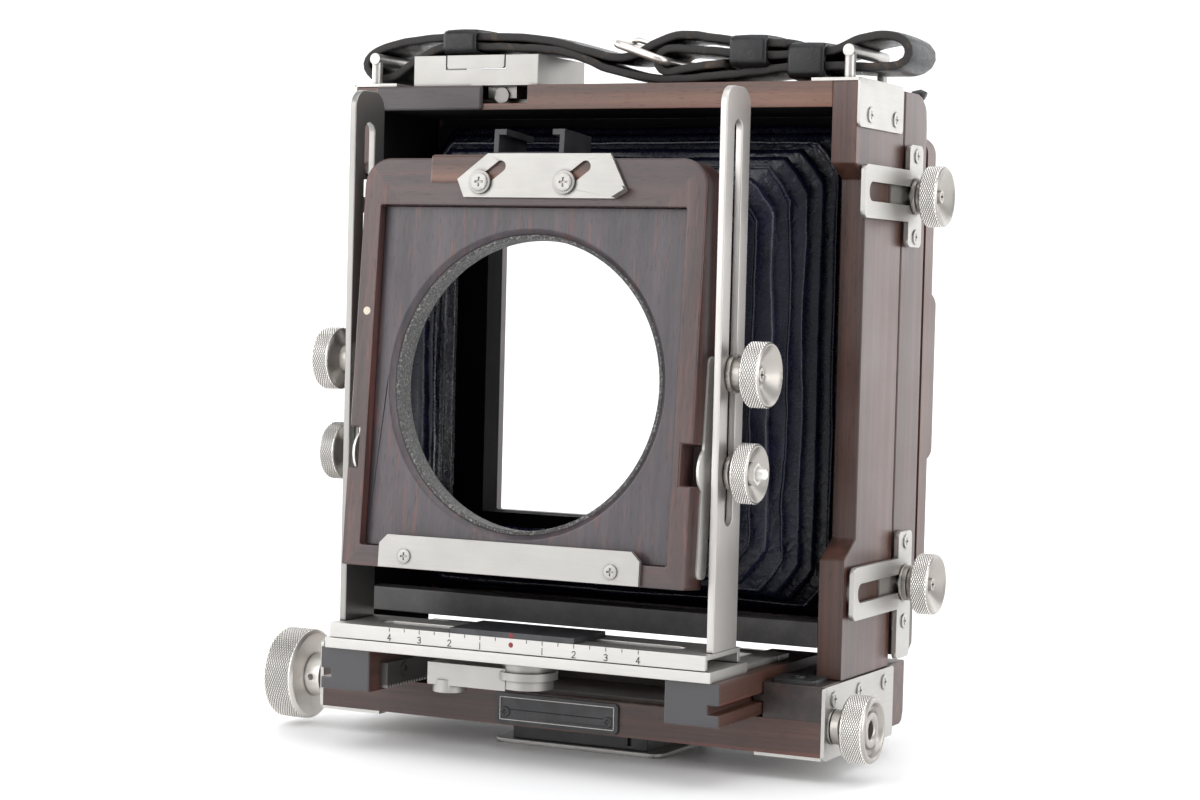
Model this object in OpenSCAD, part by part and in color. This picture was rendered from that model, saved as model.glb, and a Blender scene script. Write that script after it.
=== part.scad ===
// Large format view camera for sheet film: a wooden rear box on a wooden bed, a metal front
// standard that slides on the bed, a tilting lens frame, pleated bellows and a sprung focusing back.
// Millimetres. +Z is up, -Y is towards the subject, +X is the right side seen from the front.
// The origin is the tripod screw axis where the quick-release plate rests on the tripod head.

/* [Bed] */
// half width of the wooden bed
bed_hw = 82.2; // [70:0.1:95]
// front face of the bed
bed_front = -35; // [-45:0.5:-25]
// rear face of the side rails
bed_rear = 20; // [10:0.5:30]
// rear face of the bed tail
tail_rear = 33; // [28:0.5:45]
// underside of the bed
bed_bot = 7.3; // [4:0.1:12]
// top of the bed board
bed_deck = 17.3; // [14:0.1:22]
// top of the side rails
rail_top = 27.5; // [24:0.1:32]
// inner face of the side rails
rail_in = 64.3; // [58:0.1:70]
// width of the quick-release plate
qr_w = 56.4; // [40:0.2:70]
// depth of the quick-release plate
qr_d = 50; // [38:1:60]
// tripod screw bore radius
screw_r = 4.76; // [3.1:0.01:5]

/* [Focus] */
// height of the focus shaft axis
shaft_z = 15.6; // [13:0.1:18]
// depth position of the focus shaft axis
shaft_y = -28.5; // [-30:0.5:-20]
// gear module of rack and pinion
gear_m = 0.5; // [0.4:0.1:0.8]
// pinion teeth
gear_n = 14; // [12:1:20]
// focus knob radius
focus_r = 13.7; // [10:0.1:18]
// focus lock knob radius
flock_r = 9.5; // [7:0.1:12]

/* [Front standard] */
// front face of the scale plate
std_front = -67; // [-75:0.5:-60]
// half length of the scale plate
std_hw = 60.4; // [50:0.1:70]
// top of the metal bridge plate
bridge_top = 33.5; // [31:0.1:36]
// top of the scale plate
std_top = 38; // [36:0.1:42]
// top of the posts
post_top = 194.3; // [160:0.5:220]
// outer face of the posts
post_out = 60.3; // [50:0.1:68]
// thickness of the posts
post_t = 2.1; // [1.5:0.1:4]
// width of the posts
post_w = 16.3; // [12:0.1:20]
// post centre line, depth position
post_y = -53.65; // [-60:0.05:-45]
// slot width in the posts
slot_w = 5.5; // [4:0.1:8]
// lower end of the post slot
slot_lo = 72.8; // [50:0.5:100]
// upper end of the post slot
slot_hi = 185.1; // [150:0.5:200]
// height of the rise lock studs
rise_z = 115; // [100:0.5:140]
// height of the tilt axis
tilt_z = 87.6; // [70:0.1:110]
// stud radius
stud_r = 2.6; // [2:0.05:3]

/* [Lens frame] */
// backward lean of the lens frame at rest, degrees
lean = 4.5; // [0:0.1:10]
// half width of the lens frame
lf_hw = 54.8; // [45:0.1:60]
// bottom of the frame below the tilt axis
lf_lo = -33; // [-45:0.5:-20]
// top of the frame above the tilt axis
lf_hi = 85.7; // [70:0.5:100]
// front face ahead of the tilt axis
lf_front = -14; // [-20:0.5:-8]
// back face ahead of the tilt axis
lf_back = -2; // [-6:0.5:0]
// half width of the lens board recess
board_hw = 49; // [44:0.5:52]
// height of the lens board recess
board_h = 99; // [90:0.5:110]
// depth of the lens board recess
board_d = 3; // [2:0.1:5]
// lens opening radius
lens_r = 41.6; // [30:0.1:44]
// lens opening centre above the tilt axis
lens_z = 21.6; // [10:0.1:30]

/* [Rear box] */
// outer half width of the rear box
box_hw = 82.7; // [70:0.1:95]
// front face of the rear box
box_front = -21.9; // [-30:0.1:-15]
// rear face of the rear box sides
box_rear = 17.3; // [10:0.1:25]
// top of the rear box
box_top = 198.3; // [180:0.1:220]
// wall thickness
wall = 7.5; // [5:0.1:10]

/* [Film back] */
// front face of the moving rear frame
rear_front = 18.4; // [17.5:0.1:22]
// rear face of the moving rear frame
rear_back = 38.1; // [30:0.1:45]
// half width of the film gate
gate_hw = 62; // [55:0.5:66]
// lower edge of the film gate
gate_lo = 64.6; // [55:0.1:70]
// upper edge of the film gate
gate_hi = 161.5; // [150:0.5:170]
// depth position of the rear studs
rstud_y = 22; // [20:0.5:26]
// height of the upper rear studs
rstud_hi = 167.3; // [150:0.1:180]
// height of the lower rear studs
rstud_lo = 52.2; // [45:0.1:60]
// rear knob radius
rknob_r = 8.85; // [7:0.05:11]

/* [Hidden] */
wood = [0.27, 0.14, 0.10];
dark = [0.16, 0.11, 0.10];
metal = [0.80, 0.79, 0.76];
nickel = [0.74, 0.72, 0.67];
black = [0.07, 0.07, 0.08];
hide = [0.05, 0.05, 0.06];
plate_y = std_front + 11;
pitch_r = gear_m * gear_n / 2;
rack_pitch = PI * gear_m;
rise_slot = slot_w / 2;
post_r = 5.5;
gate_z = (gate_lo + gate_hi) / 2;
back_hw = 71.5;
strap_y = -4;

// ---- helpers ----
module bx(x0, x1, y0, y1, z0, z1) {
  translate([x0, y0, z0]) cube([x1 - x0, y1 - y0, z1 - z0]);
}
module xc(x0, x1, y, z, r, n = 48) {
  translate([x0, y, z]) rotate([0, 90, 0]) cylinder(r = r, h = x1 - x0, $fn = n);
}
module yc(y0, y1, x, z, r, n = 48) {
  translate([x, y0, z]) rotate([-90, 0, 0]) cylinder(r = r, h = y1 - y0, $fn = n);
}
module zc(z0, z1, x, y, r, n = 48) {
  translate([x, y, z0]) cylinder(r = r, h = z1 - z0, $fn = n);
}
// 2-D rectangle with round corners
module rr(x0, x1, y0, y1, r) {
  union() {
    translate([x0 + r, y0]) square([x1 - x0 - 2 * r, y1 - y0]);
    translate([x0, y0 + r]) square([x1 - x0, y1 - y0 - 2 * r]);
    for (x = [x0 + r, x1 - r]) for (y = [y0 + r, y1 - r]) translate([x, y]) circle(r = r, $fn = 24);
  }
}
// plate normal to X: 2-D (y, z)
module px(x0, x1) {
  translate([x0, 0, 0]) rotate([90, 0, 90]) linear_extrude(x1 - x0) children();
}
// plate normal to Y: 2-D (x, z)
module py(y0, y1) {
  translate([0, y1, 0]) rotate([90, 0, 0]) linear_extrude(y1 - y0) children();
}
module pz(z0, z1) {
  translate([0, 0, z0]) linear_extrude(z1 - z0) children();
}
module flip(s) {
  if (s < 0) mirror([1, 0, 0]) children();
  else children();
}
// cross-recess screw head standing h proud, axis +Z
module head(r, h = 0.4) {
  difference() {
    cylinder(r = r, h = h + 0.3, $fn = 24);
    translate([-r * 0.55, -r * 0.13, h]) cube([r * 1.1, r * 0.26, 1]);
    translate([-r * 0.13, -r * 0.55, h]) cube([r * 0.26, r * 1.1, 1]);
  }
}
module head_x(x, y, z, r) {
  translate([x - 0.3, y, z]) rotate([0, 90, 0]) head(r);
}
module head_y(x, y, z, r) {
  translate([x, y + 0.3, z]) rotate([90, 0, 0]) head(r);
}
module head_z(x, y, z, r) {
  translate([x, y, z - 0.3]) head(r);
}
// the lens frame leans back about the tilt axis
module leaning() {
  translate([0, post_y, tilt_z]) rotate([-lean, 0, 0]) children();
}
// clamping knob on the +X side, starting at x0: collar, waist, cone, rim, dished face
module knob(x0, y, z, r, bore, waist, rim, cone, dish) {
  face = waist + cone + rim;
  translate([x0, y, z]) rotate([0, 90, 0]) rotate_extrude($fn = 72) polygon([
    [bore, 0], [r * 0.6, 0], [r * 0.6, 1.3], [r * 0.5, 1.5], [r * 0.5, waist],
    [r * 0.97, waist + cone], [r, waist + cone + 0.3], [r, face - 0.4],
    [r * 0.955, face], [r * 0.92, face], [r * 0.35, face - dish], [bore, face - dish]
  ]);
}
// cross-recess screw in the middle of a knob, from x0 to x1
module knob_screw(x0, x1, y, z, r) {
  difference() {
    union() {
      xc(x0, x0 + 0.8, y, z, r + 0.95, 36);
      xc(x0 + 0.5, x1, y, z, r, 36);
    }
    bx(x1 - 0.5, x1 + 1, y - r * 0.55, y + r * 0.55, z - 0.3, z + 0.3);
    bx(x1 - 0.5, x1 + 1, y - 0.3, y + 0.3, z - r * 0.55, z + r * 0.55);
  }
}
// involute flank angle at radius q
function inva(q, rb) = sqrt(max(0, q * q / (rb * rb) - 1)) * 180 / PI - acos(min(1, rb / q));
function flank(q, rb, half) = half - inva(q, rb);
function gear_pts(n, m, back) = let (
    rp = n * m / 2, rb = rp * cos(20), ra = rp + 0.9 * m, rf = rp - 1.2 * m,
    half = 90 / n - back / rp * 90 / PI + inva(rp, rb),
    qs = [rb, rb + (ra - rb) * 0.3, rb + (ra - rb) * 0.65, ra])
  [for (k = [0:n - 1]) for (j = [0:9]) let (
      a0 = k * 360 / n + 180 / n + 90,
      q = j == 0 || j == 9 ? rf : (j < 5 ? qs[j - 1] : qs[8 - j]),
      h = flank(max(q, rb), rb, half),
      a = j < 5 ? a0 - h : a0 + h)
    [q * cos(a), q * sin(a)]];
function rack_pts(k0, k1, p, z0, tip, root, top) = concat(
  [for (k = [k0:k1]) for (j = [0:3]) let (
      w = p / 4 - 0.07,
      zz = j == 0 || j == 3 ? root : tip,
      s = (zz - z0) * tan(20),
      h = w + s)
    [k * p + (j < 2 ? -h : h), zz]],
  [[k1 * p + p / 2, root], [k1 * p + p / 2, top], [k0 * p - p / 2, top], [k0 * p - p / 2, root]]);
// a strip of even thickness along a path
function unit(v) = v / norm(v);
function nrm(p, i) = let (
    a = i == 0 ? unit(p[1] - p[0]) : unit(p[i] - p[i - 1]),
    b = i == len(p) - 1 ? a : unit(p[i + 1] - p[i]),
    c = unit(a + b))
  [-c[1], c[0]];
function band(p, t) = concat(
  [for (i = [0:len(p) - 1]) p[i] + nrm(p, i) * t / 2],
  [for (i = [len(p) - 1:-1:0]) p[i] - nrm(p, i) * t / 2]);

// ---- tripod fitting ----
module tripod_plate() color(metal) difference() {
  pz(0, 1.3) rr(-qr_w / 2, qr_w / 2, -qr_d / 2, qr_d / 2, 4);
  zc(-1, 3, 0, 0, screw_r);
}
module tripod_block() color(black) difference() {
  bx(-22.5, 22.5, -qr_d / 2 + 3, qr_d / 2 - 3, 1.3, bed_bot);
  zc(0, 12, 0, 0, screw_r);
  bx(16, 17.2, -qr_d / 2, -qr_d / 2 + 4.2, 2.4, bed_bot + 1);
}

// ---- bed ----
module bed_board() color(wood) difference() {
  bx(-bed_hw, bed_hw, bed_front, bed_rear, bed_bot, bed_deck);
  zc(bed_bot - 1, bed_bot + 4.5, 0, 0, screw_r + 0.8);
  xc(-90, 90, shaft_y, shaft_z, 2.7);
  for (s = [-1, 1]) xc(s > 0 ? 42.6 : -48, s > 0 ? 48 : -42.6, shaft_y, shaft_z, pitch_r + 1.1);
  bx(-41, 41, bed_front + 9, bed_rear - 6, bed_deck - 2, bed_deck + 1);
}
module bed_rail(s) flip(s) color(dark) difference() {
  union() {
    bx(rail_in, bed_hw, bed_front, bed_rear, bed_deck, rail_top);
    bx(61.2, rail_in, bed_front, bed_rear, 21.75, 23.95);
  }
  xc(0, 90, shaft_y, shaft_z, 2.7);
}
module bed_rail_left() bed_rail(-1);
module bed_rail_right() bed_rail(1);
module bed_tail() color(wood) difference() {
  px(-bed_hw, bed_hw) polygon([
    [bed_rear, bed_bot + 1], [tail_rear - 3.5, bed_bot + 1], [tail_rear - 1, bed_bot + 2],
    [tail_rear, bed_bot + 4.5], [tail_rear, rail_top], [bed_rear, rail_top]
  ]);
  bx(-rail_in - 0.7, rail_in + 0.7, bed_rear - 1, tail_rear - 5, bed_deck, rail_top + 1);
  bx(-rail_in - 0.7, rail_in + 0.7, bed_rear - 1, tail_rear + 1, rail_top - 0.7, rail_top + 1);
}
module bed_plate(s) flip(s) color(metal) difference() {
  union() {
    px(bed_hw, bed_hw + 1.1) rr(bed_front, bed_rear + 0.5, bed_bot - 0.9, rail_top - 0.2, 1.2);
    bx(62, bed_hw + 0.2, bed_front, bed_rear + 0.5, bed_bot - 0.9, bed_bot);
    for (y = [-28.4, -8.4, 12.2]) head_x(bed_hw + 1.1, y, 23.3, 2.2);
    xc(bed_hw, bed_hw + 1.7, shaft_y, shaft_z, 5, 36);
  }
  xc(70, 90, shaft_y, shaft_z, 2.65);
}
module bed_plate_left() bed_plate(-1);
module bed_plate_right() bed_plate(1);
module stop_plates() color(black) for (s = [-1, 1]) flip(s) union() {
  pz(rail_top, rail_top + 1.2) rr(66, 79.4, bed_front + 1, box_front - 0.5, 1.5);
  head_z(72.5, -28.5, rail_top + 1.2, 1.9);
}
module name_plate() color(black) union() {
  py(bed_front - 0.8, bed_front) polygon([
    [-21, 8.8], [-21, 16.8], [-20, 17.1], [18.2, 16.9], [19.2, 16], [19.2, 8.8], [18.2, 7.8],
    [-20, 7.8]
  ]);
  head_y(-18, bed_front - 0.8, 11.3, 1.6);
  head_y(16, bed_front - 0.8, 11.3, 1.6);
}

// ---- rear box ----
module body_side(s) flip(s) color(wood) px(box_hw - wall, box_hw) polygon([
  [box_rear, rail_top], [box_rear, box_top], [box_front, box_top], [box_front, 174.8],
  [-13.3, 170.8], [-13.3, 67.4], [box_front, 62], [box_front, rail_top]
]);
module body_side_left() body_side(-1);
module body_side_right() body_side(1);
module body_top() color(wood) difference() {
  bx(-box_hw + wall, box_hw - wall, box_front, box_rear, box_top - wall, box_top);
  bx(-43.3, -23.1, box_front - 1, -2, box_top - 5.5, box_top + 1);
}
module body_sill() color(dark) union() {
  bx(-box_hw + wall, box_hw - wall, box_front, -14, 36.4, 43.8);
  bx(-box_hw + wall, box_hw - wall, -14, 12, 36.8, 39.3);
}
module stud_plates(s) flip(s) color(metal) for (z = [rstud_lo, rstud_hi]) union() {
  px(box_hw, box_hw + 0.9) rr(5.5, rstud_y + 4.4, z - 5.8, z + 5.8, 1.5);
  xc(box_hw + 0.5, box_hw + 8.4, rstud_y, z, 2.3, 36);
}
module stud_plates_left() stud_plates(-1);
module stud_plates_right() stud_plates(1);
module lug(s) flip(s) color(metal) union() {
  px(box_hw, box_hw + 0.9) rr(box_front + 0.1, 13.8, 185.3, box_top + 0.9, 1.3);
  bx(68.5, box_hw + 0.3, box_front + 0.1, 13.8, box_top, box_top + 0.9);
  head_x(box_hw + 0.9, -13.5, 189, 2.2);
  head_x(box_hw + 0.9, 7.3, 189, 2.2);
  for (y = [-17, 8.9]) zc(box_top + 0.5, box_top + 8.6, 78.4, y, 1.6, 24);
  yc(-18.7, 10.6, 78.4, box_top + 8.9, 1.75, 24);
}
module lug_left() lug(-1);
module lug_right() lug(1);
module notch_block() color(black) union() {
  bx(-42.8, -24, -14, -3, 192.8, 194.6);
  bx(-38.3, -28.6, -18, -10, 194.6, box_top);
  yc(-18.8, -18, -33.4, box_top - 2.9, 2.5, 36);
}
module top_housing() color(metal) difference() {
  bx(-63.5, -20.4, -20, 11, box_top, box_top + 9.3);
  bx(-62.3, -21.6, -18.9, 20, box_top + 1, box_top + 8.3);
  bx(-52.2, -31.6, -21, -9, box_top + 5, box_top + 10);
}
module top_flap() color(metal) union() {
  py(-20, -19) rr(-51.8, -32, box_top + 5.3, box_top + 9, 0.8);
  bx(-51.8, -32, -20, -9.3, box_top + 8.4, box_top + 9.3);
}

// ---- carrying strap ----
strap_path = [
  [-88, 201.3], [-79, 201.2], [-72, 204.5], [-65, 209], [-58, 210.3], [-30, 210.6], [-19, 209.8],
  [-8, 206], [8, 203.2], [30, 202], [60, 201.4], [79, 201.4], [90, 202.6], [95.5, 205.2],
  [96.2, 209], [92, 211.6], [79, 212.6], [60, 212], [40, 210.6], [20, 212.4], [0, 214.6],
  [-25, 215.8], [-55, 215.8], [-79, 213.2], [-88, 211], [-92.4, 207], [-91.5, 203.2]
];
module strap() color(hide) union() {
  py(strap_y - 10.5, strap_y + 10.5) polygon(band(strap_path, 2.4));
  for (q = [[-52, 213.1, 7.4, 4.05], [44, 206.4, 8, 6.6], [63, 206.6, 8, 6.8]]) difference() {
    bx(q[0] - q[2] / 2, q[0] + q[2] / 2, strap_y - 12.4, strap_y + 12.4, q[1] - q[3] - 1.3,
      q[1] + q[3] + 1.3);
    bx(q[0] - 9, q[0] + 9, strap_y - 11, strap_y + 11, q[1] - q[3], q[1] + q[3]);
  }
}
module strap_buckle() color(nickel) translate([6, strap_y, 219]) rotate([0, 8, 0]) union() {
  difference() {
    pz(-1, 1) rr(-9, 9, -13.5, 13.5, 3);
    pz(-2, 2) rr(-6.8, 6.8, -11.3, 11.3, 1.5);
  }
  xc(-7, 8.4, 0, 0, 0.9, 16);
}

// ---- focusing slide ----
module runner(s) flip(s) color(dark) difference() {
  bx(47.5, 64, std_front + 1.5, 12, 18.1, bridge_top - 3.1);
  bx(60.6, 65, std_front, 13, 21.6, 24.1);
}
module runner_left() runner(-1);
module runner_right() runner(1);
module bridge_plate() color(metal) difference() {
  union() {
    bx(-std_hw - 1.5, std_hw + 1.5, std_front, std_front + 26, bridge_top - 3.1, bridge_top);
    bx(-std_hw, std_hw, -14, -6.5, bridge_top - 3.1, bridge_top - 1.3);
    for (s = [-1, 1]) bx(s * 56 - 4, s * 56 + 4, std_front, -6.5, bridge_top - 3.1, bridge_top - 1.3);
  }
  zc(20, 40, 0, plate_y, 3.1);
}
module racks() color(metal) for (s = [-1, 1]) flip(s) union() {
  translate([45, shaft_y, shaft_z]) rotate([90, 0, 90]) linear_extrude(2.5)
    polygon(rack_pts(-19, 19, rack_pitch, pitch_r, pitch_r - 0.38, pitch_r + 0.6, 10.6));
  translate([45.3, -49.3, 23.7]) rotate([0, -90, 0]) head(1.8, 0.4);
}
module focus_shaft() color(metal) union() {
  xc(-89.3, 90, shaft_y, shaft_z, 2.5);
  for (s = [-1, 1]) translate([s > 0 ? 43.2 : -47.3, shaft_y, shaft_z]) rotate([90, 0, 90])
    linear_extrude(4.1) polygon(gear_pts(gear_n, gear_m, 0.1));
}
module focus_knob() color(nickel) difference() {
  translate([-84.2, shaft_y, shaft_z]) rotate([0, -90, 0]) rotate_extrude($fn = 96) polygon([
    [2.5, 0], [6.4, 0], [6.4, 5.2], [focus_r - 1, 5.2], [focus_r, 6], [focus_r, 15.3],
    [focus_r - 0.8, 16.1], [focus_r - 2.6, 16.1], [focus_r - 3.4, 15.3], [0, 15.3], [0, 5.1],
    [2.5, 5.1]
  ]);
  translate([-87, shaft_y - 7, shaft_z]) rotate([-90, 0, 0]) cylinder(r = 1, h = 3, $fn = 16);
}
module focus_lock() color(nickel) translate([84.2, shaft_y, shaft_z]) rotate([0, 90, 0])
  rotate_extrude($fn = 72) polygon([
    [2.6, 0], [5, 0], [5, 2.4], [4.3, 2.8], [4.3, 3.6], [flock_r - 0.5, 4.2], [flock_r, 4.7],
    [flock_r, 11], [flock_r - 0.6, 11.6], [flock_r - 1.6, 11.6], [flock_r - 2.6, 9.9],
    [5.4, 9.9], [5.0, 10.9], [3.4, 10.9], [2.6, 10.3]
  ]);
module lock_lever() color(metal) difference() {
  union() {
    zc(22.6, bridge_top - 3.3, 0, plate_y, 7.4);
    zc(25.4, 27.6, 0, plate_y, 8.7);
    bx(-29.6, -4, plate_y - 6.4, plate_y - 3.4, 22, 28.4);
    bx(-29.6, -4, plate_y - 6.4, plate_y + 4, 27.2, 28.4);
    zc(19.8, 23.5, -24.6, plate_y - 2, 4.9, 36);
  }
  zc(20, 40, 0, plate_y, 3.1);
}

// ---- front standard ----
module index_plate() color(dark) union() {
  bx(-20, 20, std_front, std_front + 20, std_top + 0.05, std_top + 1.6);
  zc(23.4, std_top + 0.5, 0, plate_y, 3);
}
module scale_plate() color(metal) difference() {
  union() {
    bx(-std_hw, std_hw, std_front, std_front + 23.8, std_top - 1.5, std_top);
    bx(-std_hw, std_hw, std_front, std_front + 1.5, bridge_top + 0.2, std_top - 1.5);
    bx(-std_hw, std_hw, std_front + 22.3, std_front + 23.8, bridge_top + 0.2, std_top - 1.5);
  }
  bx(-46, 46, plate_y - 3.1, plate_y + 3.1, std_top - 3, std_top + 1);
  for (s = [-1, 1]) zc(std_top - 3, std_top + 1, s * 46, plate_y, 3.1);
}
module post(s) flip(s) color(metal) difference() {
  union() {
    px(post_out - post_t, post_out) union() {
      translate([post_y - post_w / 2, std_top]) square([post_w, post_top - post_r - std_top]);
      translate([post_y - post_w / 2 + post_r, std_top])
        square([post_w - 2 * post_r, post_top - std_top]);
      for (d = [-1, 1]) translate([post_y + d * (post_w / 2 - post_r), post_top - post_r])
        circle(r = post_r, $fn = 48);
    }
  }
  px(50, 65) union() {
    translate([post_y - rise_slot, slot_lo + rise_slot]) square([slot_w, slot_hi - slot_lo - slot_w]);
    for (z = [slot_lo + rise_slot, slot_hi - rise_slot]) translate([post_y, z])
      circle(r = rise_slot, $fn = 32);
  }
}
module post_left() post(-1);
module post_right() post(1);
module slider(s) flip(s) color(metal) union() {
  px(post_out - post_t - 0.95, post_out - post_t - 0.15) rr(post_y - 5, post_y + 5, 65, 120, 2);
  xc(post_out - post_t - 0.9, post_out + 7, post_y, rise_z, stud_r, 36);
  xc(lf_hw + 0.1, post_out + 8, post_y, tilt_z, stud_r, 36);
  translate([post_out + 6.1, post_y, tilt_z]) rotate([0, 90, 0]) cylinder(r = 3.2, h = 2.4, $fn = 6);
  translate([post_out + 7.9, post_y, tilt_z]) rotate([0, 90, 0]) rotate_extrude($fn = 36)
    polygon([[0, 0], [1.9, 0], [1.9, 2], [1.6, 2.8], [0.9, 3.3], [0, 3.4]]);
}
module slider_left() slider(-1);
module slider_right() slider(1);
module rise_knob(s) flip(s) color(nickel) union() {
  knob(post_out + 0.1, post_y, rise_z, 9, stud_r + 0.05, 4.2, 5.9, 1.3, 3.6);
  knob_screw(post_out + 7.3, post_out + 8.9, post_y, rise_z, 2);
}
module rise_knob_left() rise_knob(-1);
module rise_knob_right() rise_knob(1);
module tilt_knob(s) flip(s) color(nickel)
  knob(post_out + 0.1, post_y, tilt_z, 8.25, stud_r + 0.05, 2.2, 5.3, 1, 2.8);
module tilt_knob_left() tilt_knob(-1);
module tilt_knob_right() tilt_knob(1);

// ---- lens frame ----
board_lo = 72.1 - board_h;
module lens_frame() color(wood) leaning() difference() {
  py(lf_front, lf_back) difference() {
    union() {
      translate([-lf_hw, lf_lo]) square([2 * lf_hw, lf_hi - lf_lo - 8]);
      translate([-lf_hw + 8, lf_lo]) square([2 * lf_hw - 16, lf_hi - lf_lo]);
      for (s = [-1, 1]) translate([s * (lf_hw - 8), lf_hi - 8]) circle(r = 8, $fn = 48);
    }
    translate([-board_hw, board_lo]) square([2 * board_hw, board_h]);
  }
  for (s = [-1, 1]) bx(s > 0 ? 51.4 : -60, s > 0 ? 60 : -51.4, lf_front - 1, -5, -4.5, 7);
}
module lens_panel() color(dark) leaning() difference() {
  bx(-board_hw, board_hw, lf_front + board_d, lf_back - 1, board_lo, board_lo + board_h);
  yc(lf_front, lf_back, 0, lens_z, lens_r + 1.2, 96);
  translate([0, lf_front + board_d - 0.01, lens_z]) rotate([-90, 0, 0])
    cylinder(r1 = lens_r + 2.7, r2 = lens_r + 1.2, h = 1.5, $fn = 96);
}
module felt_ring() color(hide) leaning() difference() {
  yc(lf_front + board_d + 1.5, lf_back - 1, 0, lens_z, lens_r + 1.2, 96);
  yc(lf_front, lf_back, 0, lens_z, lens_r, 96);
}
module board_sill() color(metal) leaning() union() {
  py(lf_front - 1.5, lf_front) polygon([
    [-41.6, -32.8], [41.6, -32.8], [41.6, -26], [39, -23.4], [-39, -23.4], [-41.6, -26]
  ]);
  for (s = [-1, 1]) head_y(s * 33, lf_front - 1.5, -29.4, 2);
  for (x = [-15.5, 11.5]) {
    yc(lf_front - 1.6, lf_front, x, 78.6, 1.5, 24);
    yc(lf_front - 2.2, lf_front - 1.45, x, 78.6, 3.3, 32);
    head_y(x, lf_front - 2.2, 78.6, 2.5);
  }
}
module tilt_strips() color(metal) leaning() for (s = [-1, 1]) flip(s) difference() {
  px(lf_hw, lf_hw + 0.75) union() {
    rr(-7.5, -1.5, -30, 31.7, 2);
    translate([-3.6, 0]) circle(r = 6.9, $fn = 48);
  }
  xc(50, 60, 0, 0, stud_r + 0.08);
}
module accessory_shoe() color(black) leaning() union() {
  bx(-13.8, 8.8, -12, 5, lf_hi, lf_hi + 2);
  for (s = [-1, 1]) {
    bx(-2.5 + s * 10.5 - 0.8, -2.5 + s * 10.5 + 0.8, -12, 5, lf_hi + 2, lf_hi + 8.6);
    bx(-2.5 + s * 9 - 1.6, -2.5 + s * 9 + 1.6, -12, 5, lf_hi + 6.9, lf_hi + 8.6);
  }
}
module latch_slot(x, z) translate([x, z]) rotate([0, 0, 37]) union() {
  circle(r = 1.65, $fn = 24);
  translate([7.6, 0]) circle(r = 1.65, $fn = 24);
  translate([0, -1.65]) square([7.6, 3.3]);
}
module latch_plate() color(metal) leaning() union() {
  py(lf_front - 1.3, lf_front - 0.1) difference() {
    polygon([[-23.3, 79.5], [-13.8, 86.9], [25.2, 86.9], [30.9, 76.3], [27.2, 74.2], [-20.9, 74.3]]);
    latch_slot(-15.5, 78.6);
    latch_slot(11.5, 78.6);
  }
  translate([27.4, lf_front - 3.8, 74.4]) rotate([0, -30, 0]) cube([4.3, 2.7, 1.1]);
}

// ---- bellows ----
module bellows_ring(i, n) {
  t = i / n;
  x = 46 + (72.4 - 46) * t;
  zl = (1 - t) * 62.5 + t * 42.7;
  zh = (1 - t) * 158 + t * 187;
  d = (14.2 + 49.9) / n;
  y0 = -49.9 + d * i - 0.03;
  g = (i % 2 == 0) ? 0 : 2.4;
  difference() {
    bx(-x - g, x + g, y0, y0 + d + 0.06, zl - g, zh + g);
    bx(-x + 1.6, x - 1.6, y0 - 1, y0 + d + 1, zl + 1.6, zh - 1.6);
  }
}
module bellows() color(hide) union() {
  for (i = [0:23]) bellows_ring(i, 24);
  difference() {
    leaning() bx(-46, 46, lf_back, 12, -24.4, 70.6);
    bx(-60, 60, -49.9, 0, 0, 250);
    bx(-44.4, 44.4, -80, 0, 64.1, 156.4);
  }
}

// ---- moving rear frame ----
module rear_frame() color(wood) union() {
  difference() {
    px(-box_hw + 0.1, box_hw - 0.1) polygon([
      [rear_front, box_top], [rear_back - 8, box_top], [rear_back - 4.6, box_top - 0.8],
      [rear_back - 1.8, box_top - 2.8], [rear_back - 0.4, box_top - 5.4],
      [rear_back, box_top - 8.5], [rear_back, 31.9], [rear_back - 2, 30.4], [20.7, 30.4],
      [rear_front, 53]
    ]);
    bx(-gate_hw, gate_hw, 0, 60, gate_lo, gate_hi);
    bx(-70.5, 70.5, 0, rear_front + 9, 46, 181);
    bx(-rail_in - 1.5, rail_in + 1.5, 0, 28.5, 20, bridge_top);
  }
  difference() {
    bx(-73.5, 73.5, 14.4, rear_front, 41, 188.5);
    bx(-70.5, 70.5, 0, 30, 44.5, 185);
  }
  difference() {
    bx(-79, 79, rear_back, rear_back + 2.2, 44, 183.5);
    bx(-gate_hw, gate_hw, 0, 60, gate_lo, gate_hi);
  }
}
module bracket2d(z, up, dn) difference() {
  union() {
    rr(-20, 28, z - 7.6, z + 7.6, 2);
    rr(16.5, 28, z - dn, z + up, 2);
  }
  translate([-13.9, z - 2.8]) square([rstud_y + 13.9 + 0.1, 5.6]);
  for (y = [-13.9, rstud_y + 0.1]) translate([y, z]) circle(r = 2.8, $fn = 32);
}
module bracket(z, up, dn, su, sd) union() {
  px(box_hw + 1.1, box_hw + 2.5) bracket2d(z, up, dn);
  for (h = [z + su, z - sd]) {
    bx(box_hw - 0.1, box_hw + 1.2, 19.2, 27.2, h - 2.6, h + 2.6);
    head_x(box_hw + 2.5, 22.4, h, 2.1);
  }
}
module brackets(s) flip(s) color(metal) union() {
  bracket(rstud_hi, 15.2, 15, 12, 12);
  bracket(rstud_lo, 15.4, 22.6, 12.3, 11.6);
}
module brackets_left() brackets(-1);
module brackets_right() brackets(1);
module pivot_washers() color(nickel) for (s = [-1, 1]) flip(s) difference() {
  xc(box_hw + 2.55, box_hw + 3.3, rstud_y, rstud_lo, 5.4);
  xc(80, 90, rstud_y, rstud_lo, 2.36);
}
module rear_knob(s, x0, z) flip(s) color(nickel) union() {
  knob(x0, rstud_y, z, rknob_r, 2.35, 2.6, 5.6, 1.2, 3.2);
  knob_screw(x0 + 5.9, x0 + 8.2, rstud_y, z, 1.9);
}
module rear_knob_top_left() rear_knob(-1, box_hw + 2.6, rstud_hi);
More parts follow.
